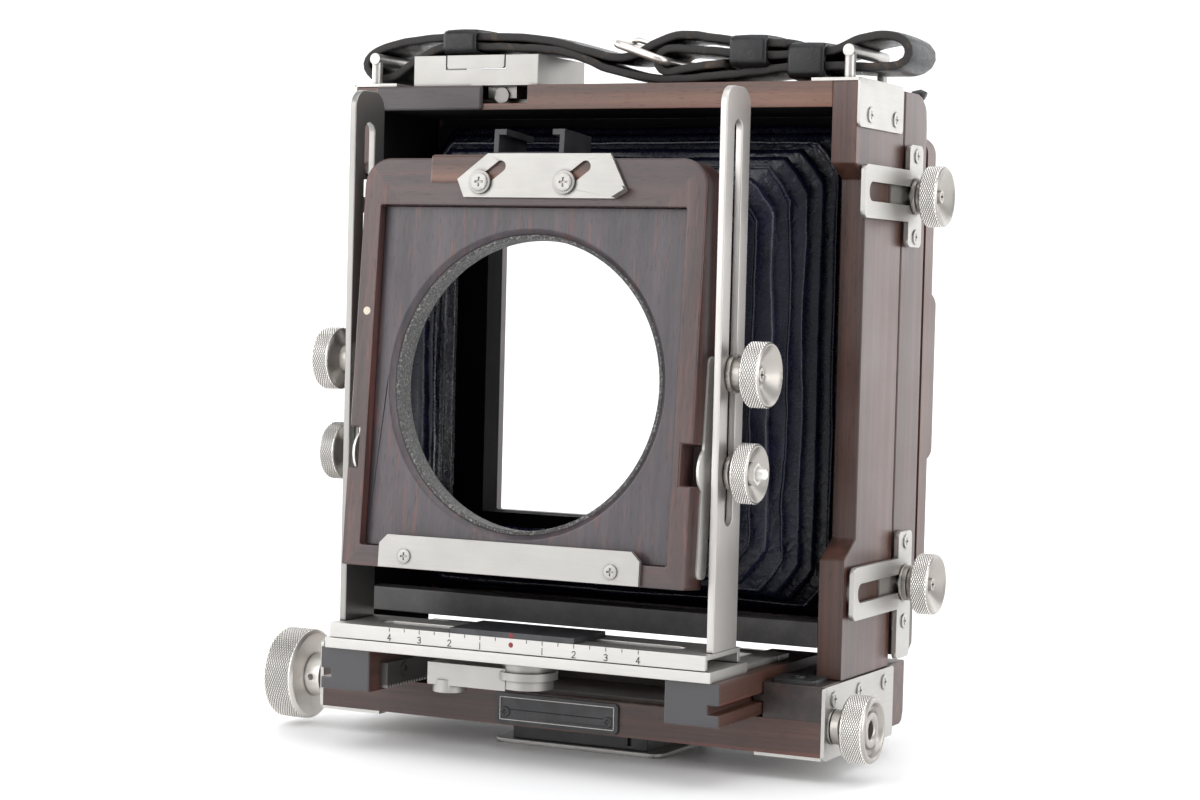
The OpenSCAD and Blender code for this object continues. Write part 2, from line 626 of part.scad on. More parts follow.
module rear_knob_top_right() rear_knob(1, box_hw + 2.6, rstud_hi);
module rear_knob_low_left() rear_knob(-1, box_hw + 3.4, rstud_lo);
module rear_knob_low_right() rear_knob(1, box_hw + 3.4, rstud_lo);

// ---- film back ----
module back_panel() color(wood) py(rear_back + 2.4, 47.7) difference() {
  rr(-box_hw + 0.4, box_hw - 0.4, 40.8, 186.8, 6);
  translate([-back_hw, gate_lo - 4]) square([2 * back_hw, gate_hi - gate_lo + 8]);
}
module glass_frame() color(wood) difference() {
  union() {
    py(47.9, 52) rr(-77, 77, gate_z - 57, gate_z + 57, 3);
    py(47.9, 52.2) rr(-box_hw + 0.6, box_hw - 0.6, gate_z - 27, gate_z + 27, 5);
  }
  bx(-back_hw, back_hw, 40, 60, gate_lo - 3, gate_hi + 3);
  bx(-back_hw - 2.2, back_hw + 2.2, 40, 49.7, gate_lo - 5, gate_hi + 5);
}
module ground_glass() color([0.9, 0.93, 0.95, 0.35])
  bx(-back_hw - 2, back_hw + 2, 48.1, 49.7, gate_lo - 4.8, gate_hi + 4.8);

tripod_plate();
tripod_block();
bed_board();
bed_rail_left();
bed_rail_right();
bed_tail();
bed_plate_left();
bed_plate_right();
stop_plates();
name_plate();
body_side_left();
body_side_right();
body_top();
body_sill();
stud_plates_left();
stud_plates_right();
lug_left();
lug_right();
notch_block();
top_housing();
top_flap();
strap();
strap_buckle();
runner_left();
runner_right();
bridge_plate();
racks();
focus_shaft();
focus_knob();
focus_lock();
lock_lever();
index_plate();
scale_plate();
post_left();
post_right();
slider_left();
slider_right();
rise_knob_left();
rise_knob_right();
tilt_knob_left();
tilt_knob_right();
lens_frame();
lens_panel();
felt_ring();
board_sill();
tilt_strips();
accessory_shoe();
latch_plate();
bellows();
rear_frame();
brackets_left();
brackets_right();
pivot_washers();
rear_knob_top_left();
rear_knob_top_right();
rear_knob_low_left();
rear_knob_low_right();
back_panel();
glass_frame();
ground_glass();
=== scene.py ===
"""Looks of the large format view camera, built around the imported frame: dark hardwood, brushed and
knurled metal, creased leather bellows and a buckled leather strap. Every length is in metres."""
import math

import bmesh
import bpy
from mathutils import Matrix, Vector, noise


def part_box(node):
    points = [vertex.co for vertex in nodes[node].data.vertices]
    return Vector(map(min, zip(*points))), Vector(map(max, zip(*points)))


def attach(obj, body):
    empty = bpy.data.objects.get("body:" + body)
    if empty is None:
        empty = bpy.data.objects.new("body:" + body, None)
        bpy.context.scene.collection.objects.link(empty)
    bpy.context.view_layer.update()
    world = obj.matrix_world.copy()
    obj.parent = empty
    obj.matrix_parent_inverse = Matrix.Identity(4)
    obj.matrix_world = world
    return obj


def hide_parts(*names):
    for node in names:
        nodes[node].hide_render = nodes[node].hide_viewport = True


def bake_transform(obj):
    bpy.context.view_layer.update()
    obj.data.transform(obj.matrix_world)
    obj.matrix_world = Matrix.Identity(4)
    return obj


MM = 0.001
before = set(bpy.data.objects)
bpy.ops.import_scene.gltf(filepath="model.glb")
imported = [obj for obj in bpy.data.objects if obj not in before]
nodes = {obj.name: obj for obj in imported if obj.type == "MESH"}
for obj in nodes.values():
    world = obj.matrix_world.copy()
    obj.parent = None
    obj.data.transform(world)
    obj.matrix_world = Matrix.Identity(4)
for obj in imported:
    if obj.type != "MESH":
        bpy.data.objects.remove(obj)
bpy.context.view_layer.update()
SIDES = ("left", "right")

# ---- places taken from the frame ----
BOX_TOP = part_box("body_side_right")[1].z
TILT_AXIS = (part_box("tilt_knob_left")[0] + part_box("tilt_knob_right")[1]) / 2
BELLOWS_MIDDLE = (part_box("bellows")[0].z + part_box("bellows")[1].z) / 2

# ---- the lens frame, measured from its tilt axis ----
LEAN = math.radians(4.5)  # backward lean at rest
LENS_FRAME_BACK = -2 * MM
LENS_FRAME_FRONT = -14 * MM


def tilted(x, y, z):
    """A point given about the tilt axis, in the leaning lens frame's own directions."""
    point = Vector((x, y, z))
    point.rotate(Matrix.Rotation(-LEAN, 3, "X"))
    return point + Vector((0, TILT_AXIS.y, TILT_AXIS.z))


# ---- materials ----
class Graph:
    """A procedural material, built by short calls. Its coordinates are the piece's own, in metres."""

    def __init__(self, name):
        self.material = bpy.data.materials.new(name)
        self.material.use_nodes = True
        self.tree = self.material.node_tree
        self.tree.nodes.clear()
        self.shader = self.add("BsdfPrincipled")
        surface = self.add("OutputMaterial").inputs["Surface"]
        self.tree.links.new(self.shader.outputs[0], surface)
        self.coordinates = self.add("TexCoord").outputs
        self.place = self.coordinates["Object"]

    def add(self, kind, **settings):
        node = self.tree.nodes.new("ShaderNode" + kind)
        for key, value in settings.items():
            setattr(node, key, value)
        return node

    def feed(self, node, inputs):
        for key, value in inputs.items():
            socket = node.inputs[key]
            if isinstance(value, bpy.types.NodeSocket):
                self.tree.links.new(value, socket)
            elif isinstance(value, tuple) and len(value) == 3 and socket.type == "RGBA":
                socket.default_value = (*value, 1)
            else:
                socket.default_value = value
        return node

    def finish(self, **inputs):
        self.feed(self.shader, {key.replace("_", " "): value for key, value in inputs.items()})
        return self.material

    def scaled(self, vector, scale, shift=(0, 0, 0)):
        node = self.add("VectorMath", operation="MULTIPLY_ADD")
        return self.feed(node, {0: vector, 1: scale, 2: shift}).outputs[0]

    def noise(self, vector, scale, detail=3, roughness=0.5, distortion=0):
        node = self.add("TexNoise")
        values = {"Vector": vector, "Scale": scale, "Detail": detail}
        values.update({"Roughness": roughness, "Distortion": distortion})
        return self.feed(node, values).outputs[0]

    def cells(self, vector, scale, feature="F1"):
        node = self.add("TexVoronoi", feature=feature)
        return self.feed(node, {"Vector": vector, "Scale": scale}).outputs[0]

    def range(self, value, low, high, to_low=0.0, to_high=1.0):
        node = self.add("MapRange")
        values = {"Value": value, 1: low, 2: high, 3: to_low, 4: to_high}
        return self.feed(node, values).outputs[0]

    def math(self, operation, a, b=0.0):
        return self.feed(self.add("Math", operation=operation), {0: a, 1: b}).outputs[0]

    def between(self, value, low, high):
        node = self.add("Math", operation="COMPARE")
        return self.feed(node, {0: value, 1: (low + high) / 2, 2: (high - low) / 2}).outputs[0]

    def split(self, vector):
        return self.feed(self.add("SeparateXYZ"), {0: vector}).outputs

    def open_sky(self, reach):
        """1 on open faces, falling towards 0 in slots and corners within reach."""
        node = self.add("AmbientOcclusion", samples=3)
        return self.feed(node, {"Distance": reach}).outputs["AO"]

    def mix(self, share, a, b):
        node = self.add("Mix", data_type="RGBA")
        return self.feed(node, {0: share, 6: a, 7: b}).outputs[2]

    def ramp(self, value, stops):
        node = self.add("ValToRGB")
        elements = node.color_ramp.elements
        while len(elements) < len(stops):
            elements.new(0.5)
        for element, (position, colour) in zip(elements, stops):
            element.position = position
            element.color = (*colour, 1)
        return self.feed(node, {0: value}).outputs[0]

    def bump(self, height, distance, strength=1.0, under=None):
        node = self.add("Bump")
        values = {"Height": height, "Distance": distance, "Strength": strength}
        if under is not None:
            values["Normal"] = under
        return self.feed(node, values).outputs[0]


ALONG = 0.015  # a grain streak's width over its length
SHORT = 0.09  # a pore's width over its length
GRAIN = {"x": (ALONG, 1, 1), "y": (1, ALONG, 1), "z": (1, 1, ALONG)}
PORES = {"x": (SHORT, 1, 1), "y": (1, SHORT, 1), "z": (1, 1, SHORT)}
LINING = (0.0065, 0.0063, 0.0072)  # matt black stain of the inside faces
RED_STREAK = (0.19, 0.05, 0.03)
RAIL_SHEEN = (0.022, 0.017, 0.021)  # painted sheen: the rails of a mitred frame are a little greyer, as the light catches their grain running across
# painted shade: the dark colour that metal turns to in its slots and corners
RECESS_SHADE = (0.045, 0.042, 0.040)


def hardwood(name, dark, mid, light, grain="z", seed=0, red=0.25, roughness=0.4, mitre=None, lining=(),
             stain=LINING):
    """Oiled dark hardwood: soft bands of colour, fine streaks and short pores along the grain.
    mitre is (half width, middle height, half height) of a frame whose rails run across. lining is
    a list of (axis, low, high) bounds: wood inside all of them is stained. On axis 0 the bounds
    hold for both sides of the camera. The LINING stain is matt, any other keeps the wood's gloss."""
    g = Graph(name)
    parts = g.split(g.place)
    offset = (0.13 * seed, 0.07 * seed, 0.11 * seed)
    if mitre:
        half_width, middle, half_height = mitre
        side = g.math("SUBTRACT", g.math("ABSOLUTE", parts[0]), half_width)
        height = g.math("ABSOLUTE", g.math("SUBTRACT", parts[2], middle))
        rail = g.math("GREATER_THAN", g.math("SUBTRACT", height, half_height), side)
        along, short = (
            g.feed(g.add("VectorMath", operation="MULTIPLY_ADD"),
                   {0: g.place, 1: g.mix(rail, table["z"], table["x"]), 2: offset}).outputs[0]
            for table in (GRAIN, PORES))
    else:
        along, short = g.scaled(g.place, GRAIN[grain], offset), g.scaled(g.place, PORES[grain], offset)
    bands = g.noise(along, 190, 5, 0.6, 0.1)
    streaks = g.noise(along, 1300, 4, 0.65, 0.15)
    figure = g.math("ADD", g.math("MULTIPLY", bands, 0.76), g.math("MULTIPLY", streaks, 0.24))
    colour = g.ramp(figure, [(0.34, dark), (0.5, mid), (0.68, light)])
    reddish = g.range(g.noise(along, 560, 3, 0.6), 0.58, 0.65, 0, red)
    colour = g.mix(reddish, colour, RED_STREAK)
    pore = g.range(g.noise(short, 2600, 2, 0.55), 0.60, 0.68)
    colour = g.mix(g.math("MULTIPLY", pore, 0.55), colour, worn(dark, 0.4))
    handled = g.noise(g.place, 38, 3)
    gloss = g.math("ADD", g.range(streaks, 0.3, 0.7, -0.04, 0.05),
                   g.range(handled, 0.3, 0.7, -0.04, 0.05))
    gloss = g.math("ADD", gloss, roughness)
    relief = g.bump(g.math("SUBTRACT", streaks, pore), 0.035 * MM, 0.5)
    coat, gleam = 0.24, 0.5
    if mitre:
        # painted sheen: the rails are mixed towards a greyer colour
        colour = g.mix(g.math("MULTIPLY", rail, 0.4), colour, RAIL_SHEEN)
    if lining:
        stained = 1.0
        for axis, low, high in lining:
            value = g.math("ABSOLUTE", parts[0]) if axis == 0 else parts[axis]
            stained = g.math("MULTIPLY", g.between(value, low, high), stained)
        colour = g.mix(stained, colour, stain)
        if stain == LINING:
            coat, gleam = g.range(stained, 0, 1, coat, 0), g.range(stained, 0, 1, gleam, 0.12)
            gloss = g.math("ADD", gloss, g.math("MULTIPLY", stained, 0.4))
    values = {"Base_Color": colour, "Roughness": gloss, "Normal": relief, "Coat_Weight": coat}
    return g.finish(**values, Coat_Roughness=0.3, Specular_IOR_Level=gleam)


def worn(colour, share):
    """A colour darkened to a share of itself."""
    return tuple(c * share for c in colour)


def painted_recess_shade(g, tint, reach):
    """Paints shade into a metal's colour in slots and corners: the less open sky a point sees within reach,
    the darker.
    """
    sky = g.range(g.open_sky(reach), 0.35, 0.88)
    return g.mix(sky, RECESS_SHADE, tint)


def brushed(name, colour, along="z", roughness=0.36, diffuse=0.14):
    """Metal sheet brushed along one axis, with faint marks of use and painted shade in its slots and corners.
    """
    g = Graph(name)
    lines = g.noise(g.scaled(g.place, GRAIN[along]), 6500, 3, 0.7)
    cloud = g.noise(g.place, 55, 4, 0.6)
    marks = g.range(g.noise(g.scaled(g.place, (1, 0.2, 0.35)), 900, 2, 0.5, 1.5), 0.68, 0.74)
    tint = g.mix(g.range(cloud, 0.35, 0.7), colour, worn(colour, 0.93))
    tint = g.mix(g.range(lines, 0.3, 0.7, 0, 0.35), tint, worn(colour, 0.86))
    rough = g.math("ADD", g.range(lines, 0.3, 0.7, -0.04, 0.06), g.range(cloud, 0.3, 0.7, -0.02, 0.04))
    rough = g.math("ADD", g.math("ADD", rough, g.math("MULTIPLY", marks, 0.08)), roughness)
    relief = g.bump(lines, 0.008 * MM, 0.3)
    # the colour carries painted shade in slots and corners
    values = {"Base_Color": painted_recess_shade(g, tint, 1.1 * MM), "Roughness": rough, "Normal": relief}
    return g.finish(**values, Metallic=1 - diffuse)


def turned(name, colour, roughness=0.3):
    """Satin nickel turned on a lathe about the X axis: fine rings on the faces, and painted shade in slots
    and corners.
    """
    g = Graph(name)
    parts = g.split(g.coordinates["Generated"])
    squares = [g.math("POWER", g.math("SUBTRACT", parts[i], 0.5), 2.0) for i in (1, 2)]
    radius = g.math("SQRT", g.math("ADD", *squares))
    rings = g.math("SINE", g.math("MULTIPLY", radius, 420.0))
    cloud = g.noise(g.place, 160, 4, 0.6)
    tint = g.mix(g.range(cloud, 0.3, 0.7), colour, worn(colour, 0.93))
    rough = g.math("ADD", g.range(cloud, 0.3, 0.7, -0.03, 0.05), roughness)
    relief = g.bump(rings, 0.008 * MM, 0.2)
    # the colour carries painted shade in slots and corners
    return g.finish(Base_Color=painted_recess_shade(g, tint, 0.9 * MM), Roughness=rough, Normal=relief, Metallic=0.88)


def knurled(name, peak, groove, roughness=0.26):
    """Nickel cut with diamonds: a painted highlight on the peaks, far lighter than the knobs' own nickel, and
    painted shade in the grooves, told apart by the mesh's own values.
    """
    g = Graph(name)
    depth = g.add("Attribute", attribute_name="groove").outputs["Fac"]
    cloud = g.noise(g.place, 160, 4, 0.6)
    # painted highlight: the peaks are far lighter than the knobs' own nickel
    tint = g.mix(g.range(cloud, 0.3, 0.7), peak, worn(peak, 0.93))
    # painted shade: the grooves are tinted towards near black
    tint = g.mix(g.range(depth, 0.62, 0.92), tint, groove)
    rough = g.math("ADD", g.range(depth, 0.3, 1, 0, 0.25), roughness)
    return g.finish(Base_Color=tint, Roughness=rough, Metallic=0.88)


def painted(name, colour, roughness=0.4, grain=2400, depth=0.02):
    """Black anodised or painted metal with a fine tooth and rubbed patches."""
    g = Graph(name)
    tooth = g.noise(g.place, grain, 3, 0.6)
    rubbed = g.range(g.noise(g.place, 140, 4, 0.6), 0.42, 0.75)
    tint = g.mix(rubbed, colour, tuple(min(1, c * 1.9 + 0.006) for c in colour))
    rough = g.math("ADD", g.range(tooth, 0.3, 0.7, -0.06, 0.08), roughness)
    return g.finish(Base_Color=tint, Roughness=rough, Normal=g.bump(tooth, depth * MM, 0.6))


def leather(name, colour, sheen, roughness, pebble, depth, crease, crumple=0.0):
    """Smooth black leather: fine pebble, creases and a rubbed sheen. crumple is the depth in metres
    of a net of fold creases on the corners of the bellows."""
    g = Graph(name)
    grain = g.cells(g.place, pebble)
    folds = g.noise(g.place, pebble * 0.35, 5, 0.65, 1.2)
    rubbed = g.range(g.noise(g.place, 95, 4, 0.65), 0.45, 0.8)
    tint = g.mix(rubbed, colour, sheen)
    rough = g.math("ADD", g.range(folds, 0.3, 0.7, -0.1, 0.12), roughness)
    relief = g.bump(grain, depth * MM, 0.5)
    relief = g.bump(folds, crease * MM, 0.7, relief)
    if crumple:
        drift = g.add("TexNoise")
        g.feed(drift, {"Vector": g.place, "Scale": 160.0, "Detail": 3.0})
        bent = g.feed(g.add("VectorMath", operation="MULTIPLY_ADD"),
                      {0: drift.outputs["Color"], 1: (0.006, 0.006, 0.006), 2: g.place}).outputs[0]
        net = g.range(g.cells(bent, 260, "DISTANCE_TO_EDGE"), 0.0, 0.3)
        place = g.split(g.place)
        off_middle = g.math("ABSOLUTE", g.math("SUBTRACT", place[2], BELLOWS_MIDDLE))
        corner = g.math("MULTIPLY", g.range(off_middle, 20 * MM, 50 * MM),
                        g.range(g.math("ABSOLUTE", place[0]), 30 * MM, 48 * MM))
        relief = g.bump(g.math("MULTIPLY", net, corner), crumple, 0.8, relief)
    values = {"Base_Color": tint, "Roughness": rough, "Normal": relief}
    return g.finish(**values, Specular_IOR_Level=0.36)


def raw_edge():
    """Cut edge of the strap: dyed black, worn through to tan in places."""
    g = Graph("strap_edge")
    fibres = g.noise(g.place, 1500, 4, 0.7, 0.6)
    bare = g.range(g.noise(g.place, 160, 4, 0.7), 0.56, 0.74)
    dye, tan, fibre = (0.012, 0.011, 0.012), (0.15, 0.085, 0.04), (0.02, 0.016, 0.013)
    tint = g.mix(g.range(fibres, 0.35, 0.7), g.mix(bare, dye, tan), fibre)
    return g.finish(Base_Color=tint, Roughness=0.68, Normal=g.bump(fibres, 0.12 * MM, 0.7))


def felt():
    """Black light-seal felt with pale flecks of dust and fibre."""
    g = Graph("felt")
    fibres = g.noise(g.place, 2600, 5, 0.75, 1.5)
    flecks = g.range(g.noise(g.place, 1500, 4, 0.75), 0.52, 0.64)
    black, grey, dust = (0.02, 0.02, 0.021), (0.10, 0.097, 0.093), (0.34, 0.33, 0.31)
    tint = g.mix(flecks, g.mix(g.range(fibres, 0.35, 0.7), black, grey), dust)
    relief = g.bump(fibres, 0.3 * MM, 0.9)
    return g.finish(Base_Color=tint, Roughness=0.95, Normal=relief, Sheen_Weight=0.3)


def ground_screen():
    """Finely ground focusing screen: clear enough to pass the bright backdrop, softly frosted."""
    g = Graph("ground_screen")
    tooth = g.noise(g.place, 5000, 2, 0.6)
    rough = g.range(tooth, 0.3, 0.7, 0.12, 0.2)
    relief = g.bump(tooth, 0.01 * MM, 0.3)
    values = {"Base_Color": (0.985, 0.99, 0.99), "Roughness": rough, "Normal": relief}
    return g.finish(**values, Transmission_Weight=1.0, IOR=1.08)


def enamel(name, colour):
    """Colour filled into an engraved mark, slightly uneven."""
    g = Graph(name)
    wear = g.noise(g.place, 2600, 3, 0.6)
    tint = g.mix(g.range(wear, 0.4, 0.75), colour, tuple(c * 0.6 + 0.03 for c in colour))
    return g.finish(Base_Color=tint, Roughness=0.5, Normal=g.bump(wear, 0.01 * MM, 0.4))


# the three tones of each wood: shade, middle, light
DARK = ((0.022, 0.010, 0.007), (0.064, 0.027, 0.019), (0.115, 0.050, 0.033))
DUSKY = ((0.022, 0.012, 0.011), (0.054, 0.027, 0.024), (0.098, 0.048, 0.041))
ROSE = ((0.036, 0.014, 0.009), (0.092, 0.040, 0.026), (0.175, 0.078, 0.046))
# the lens panel's tones: grey with a blue cast, partly the wood's own colour and partly painted sheen
GREY = ((0.022, 0.017, 0.021), (0.042, 0.032, 0.038), (0.070, 0.052, 0.059))
DEEP = ((0.012, 0.008, 0.008), (0.026, 0.017, 0.016), (0.05, 0.03, 0.026))
SOOT = ((0.016, 0.015, 0.016), (0.026, 0.024, 0.025), (0.04, 0.036, 0.036))
# the beam facing borrows the lens panel's tones, painted sheen included
FACING = (GREY[0], (0.036, 0.026, 0.027), GREY[1])
RUNNER = (ROSE[0], DARK[1], ROSE[1])
END_STAIN = (0.042, 0.040, 0.043)  # dark stain on the runners' front ends

lens_frame_top = (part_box("lens_frame")[1].z - TILT_AXIS.z) / math.cos(LEAN) - 0.3 * MM
rear_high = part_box("rear_frame")[1]
side_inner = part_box("body_side_right")[0].x
beam_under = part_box("body_top")[0].z
runner_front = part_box("runner_right")[0].y


def mitre_of(node):
    """Half width, middle height and half height of a mitred frame."""
    low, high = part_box(node)
    return high.x, (low.z + high.z) / 2, (high.z - low.z) / 2


side_lining = [(0, -1, side_inner + 0.05 * MM)]
beam_lining = [(2, -1, beam_under + 0.05 * MM)]
rear_lining = [(0, -1, side_inner), (1, -1, rear_high.y - 3.2 * MM), (2, 40 * MM, beam_under)]
runner_end = [(1, -1, runner_front + 0.3 * MM)]
rear_mitre = mitre_of("rear_frame")
# tones, grain axis, seed, share of red, roughness, mitre, lining, stain
wood_side = hardwood("wood_side", *DARK, "z", 1, 0.15, 0.36, None, side_lining)
wood_bed = hardwood("wood_bed", *DARK, "x", 2, 0.3, 0.42)
wood_beam = hardwood("wood_beam", *ROSE, "x", 3, 0.35, 0.42, None, beam_lining)
wood_rail = hardwood("wood_rail", *DEEP, "y", 4, 0.05, 0.42)
wood_facing = hardwood("wood_facing", *FACING, "x", 12, 0.05, 0.42)
wood_frame = hardwood("wood_frame", *DUSKY, "z", 5, 0.3, 0.36, mitre_of("lens_frame"))
wood_rear = hardwood("wood_rear", *DARK, "z", 6, 0.15, 0.36, rear_mitre, rear_lining)
wood_back = hardwood("wood_back", *DARK, "z", 9, 0.15, 0.38, rear_mitre)
wood_panel = hardwood("wood_panel", *GREY, "z", 7, 0.25, 0.38)
wood_runner = hardwood("wood_runner", *RUNNER, "y", 11, 0.5, 0.42, None, runner_end, END_STAIN)
wood_seat = hardwood("wood_seat", *ROSE, "x", 10, 0.5, 0.4)
wood_black = hardwood("wood_black", *SOOT, "y", 8, 0.05, 0.42)
# colour, direction of the brushing, roughness, how much of it scatters light as paint does
metal_up = brushed("metal_up", (0.58, 0.555, 0.53), "z", 0.36, 0.2)
# painted light: a much lighter, more diffuse copy of the post metal for the tilt strips and sliders, which
# lie in shade between post and frame
metal_strip_lit = brushed("metal_strip_lit", (0.86, 0.84, 0.80), "z", 0.42, 0.45)
# painted shade: a darker copy of the post metal, for the left post
metal_left_shaded = brushed("metal_left_shaded", (0.33, 0.32, 0.305), "z", 0.34, 0.1)
metal_across = brushed("metal_across", (0.385, 0.373, 0.355), "x", 0.4, 0.2)
metal_scale = brushed("metal_scale", (0.56, 0.545, 0.52), "x", 0.4, 0.2)
metal_back = brushed("metal_back", (0.51, 0.495, 0.47), "y", 0.36)
nickel_turned = turned("nickel_turned", (0.43, 0.405, 0.375))
# painted light: a much lighter copy of the turned nickel, for the focus knob
nickel_lit = turned("nickel_lit", (0.86, 0.83, 0.79), 0.42)
nickel_plain = brushed("nickel_plain", (0.66, 0.62, 0.575), "y", 0.28)
# painted highlight on the knurl peaks and painted shade in its grooves
nickel_knurl = knurled("nickel_knurl", (0.93, 0.90, 0.86), (0.022, 0.021, 0.019))
metal_dim = brushed("metal_dim", (0.20, 0.19, 0.18), "x", 0.35)
black_metal = painted("black_metal", (0.012, 0.012, 0.013), 0.38)
black_plate = painted("black_plate", (0.028, 0.028, 0.030), 0.42, 1800, 0.015)
strap_hide = leather("strap_hide", (0.006, 0.006, 0.007), (0.012, 0.012, 0.014), 0.33, 1500, 0.03, 0.12)
bellows_hide = leather("bellows_hide", (0.0040, 0.0044, 0.0125), (0.010, 0.011, 0.029), 0.27, 1100,
                       0.02, 0.08, 0.10 * MM)
strap_edge = raw_edge()
felt_seal = felt()
screen = ground_screen()
red_enamel = enamel("red_enamel", (0.21, 0.010, 0.010))
black_enamel = enamel("black_enamel", (0.012, 0.012, 0.013))
white_enamel = enamel("white_enamel", (0.72, 0.70, 0.66))
ivory = enamel("ivory", (0.66, 0.58, 0.45))

# ---- finishes of the CAD nodes: material, edge rounding in millimetres ----
FINISHES = {
    "tripod_plate": (metal_across, 0.2),
    "tripod_block": (black_metal, 0.3),
    "bed_board": (wood_bed, 0.4),
    "bed_tail": (wood_bed, 0.4),
    "stop_plates": (black_metal, 0.15),
    "name_plate": (black_plate, 0.12),
    "body_top": (wood_beam, 0.4),
    "body_sill": (wood_black, 0.4),
    "notch_block": (metal_dim, 0.15),
    "top_housing": (metal_across, 0.22),
    "top_flap": (metal_across, 0.18),
    "bridge_plate": (metal_scale, 0.2),
    "racks": (metal_dim, 0),
    "focus_shaft": (nickel_plain, 0),
    "focus_knob": (nickel_lit, 0.15),
    "focus_lock": (nickel_turned, 0.15),
    "lock_lever": (metal_across, 0.25),
    "index_plate": (black_plate, 0.2),
    "scale_plate": (metal_scale, 0.2),
    "post_left": (metal_left_shaded, 0.3),
    "post_right": (metal_up, 0.3),
    "lens_frame": (wood_frame, 0.6),
    "lens_panel": (wood_panel, 0.35),
    "felt_ring": (felt_seal, 0.15),
    "board_sill": (metal_across, 0.2),
    "tilt_strips": (metal_strip_lit, 0.12),
    "accessory_shoe": (black_metal, 0.15),
    "latch_plate": (metal_across, 0.2),
    "rear_frame": (wood_rear, 0.45),
    "pivot_washers": (nickel_plain, 0.08),
    "back_panel": (wood_back, 0.6),
    "glass_frame": (wood_back, 0.5),
    "ground_glass": (screen, 0),
}
PAIRED_FINISHES = {
    "bed_rail": (wood_rail, 0.35),
    "bed_plate": (metal_back, 0.16),
    "body_side": (wood_side, 0.5),
    "stud_plates": (metal_back, 0.15),
    "lug": (metal_back, 0.16),
    "runner": (wood_runner, 0.4),
    "slider": (metal_strip_lit, 0.12),
    "rise_knob": (nickel_turned, 0.12),
    "tilt_knob": (nickel_turned, 0.12),
    "brackets": (metal_back, 0.16),
    "rear_knob_top": (nickel_turned, 0.12),
    "rear_knob_low": (nickel_turned, 0.12),
}


def weld(obj, distance):
    """Joins points that lie within a distance, with a modifier."""
    obj.modifiers.new("weld", "WELD").merge_threshold = distance


def dress(name, material, rounding):
    """Gives a CAD node its finish and softens its sharp edges with modifiers."""
    obj = nodes[name]
    obj.data.materials.clear()
    obj.data.materials.append(material)
    for polygon in obj.data.polygons:
        polygon.material_index = 0
    if not rounding:
        return
    weld(obj, 0.002 * MM)
    bevel = obj.modifiers.new("edges", "BEVEL")
    bevel.width = rounding * MM
    bevel.segments = 2
    bevel.limit_method = "ANGLE"
    bevel.angle_limit = math.radians(38)
    bevel.use_clamp_overlap = True
    normals = obj.modifiers.new("normals", "WEIGHTED_NORMAL")
    normals.keep_sharp = False


for node_name, finish in FINISHES.items():
    dress(node_name, *finish)
for pair_name, finish in PAIRED_FINISHES.items():
    for side in SIDES:
        dress(f"{pair_name}_{side}", *finish)


# ---- mesh helpers ----
def make_piece(name, points, faces, materials, body=None, smooth=True, indices=None):
    """A mesh object from points and faces, with outward normals, riding on a body."""
    mesh = bpy.data.meshes.new(name)
    mesh.from_pydata([tuple(p) for p in points], [], faces)
    for material in materials:
        mesh.materials.append(material)
    if indices:
        mesh.polygons.foreach_set("material_index", indices)
    shape = bmesh.new()
    shape.from_mesh(mesh)
    bmesh.ops.recalc_face_normals(shape, faces=shape.faces)
    for face in shape.faces:
        face.smooth = smooth
    shape.to_mesh(mesh)
    shape.free()
    obj = bpy.data.objects.new(name, mesh)
    bpy.context.scene.collection.objects.link(obj)
    if body:
        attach(obj, body)
    return obj


def loft(rings, closed_ends=True):
    """Points and faces of a skin over rings that have the same number of points."""
    count = len(rings[0])
    points = [p for ring in rings for p in ring]
    faces = []
    for i in range(len(rings) - 1):
        for j in range(count):
            k = (j + 1) % count
            faces.append((i * count + j, i * count + k, (i + 1) * count + k, (i + 1) * count + j))
    if closed_ends:
        faces.append(tuple(reversed(range(count))))
        faces.append(tuple(range((len(rings) - 1) * count, len(rings) * count)))
    return points, faces


def smooth_path(points, step):
    """A Catmull-Rom curve through 2-D points, sampled about every step."""
    ends = [points[0] * 2 - points[1], *points, points[-1] * 2 - points[-2]]
    out = []
    for a, b, c, d in zip(ends, ends[1:], ends[2:], ends[3:]):
        count = max(2, round((c - b).length / step))
        for i in range(count):
            t = i / count
            out.append(0.5 * (2 * b + (c - a) * t + (2 * a - 5 * b + 4 * c - d) * t * t
                              + (3 * b - a - 3 * c + d) * t ** 3))
    out.append(points[-1])
    return out


def rounded_section(half_width, half_height, corner, steps=4, crown=0.0):
    """Outline of a rounded rectangle, anticlockwise, with faces that bulge by crown."""
    out = []
    for quarter in range(4):
        sx, sy = ((1, 1), (-1, 1), (-1, -1), (1, -1))[quarter]
        for i in range(steps + 1):
            a = math.pi / 2 * (quarter + i / steps)
            x = sx * (half_width - corner) + corner * math.cos(a)
            y = sy * (half_height - corner) + corner * math.sin(a)
            out.append(Vector((x, y)))
        if sy > 0 and quarter == 0 or sy < 0 and quarter == 2:
            for i in (1, 2, 3):
                x = (half_width - corner) * (1 - i / 2) * sx
                out.append(Vector((x, sy * (half_height + crown * math.sin(math.pi * i / 4)))))
    return out


# ---- knurled rims ----
SLEEVE = 0.4 * MM  # how far a knurled sleeve reaches into its knob
GROOVE_RISE = 0.03 * MM  # how far its grooves stand above the knob's own rim


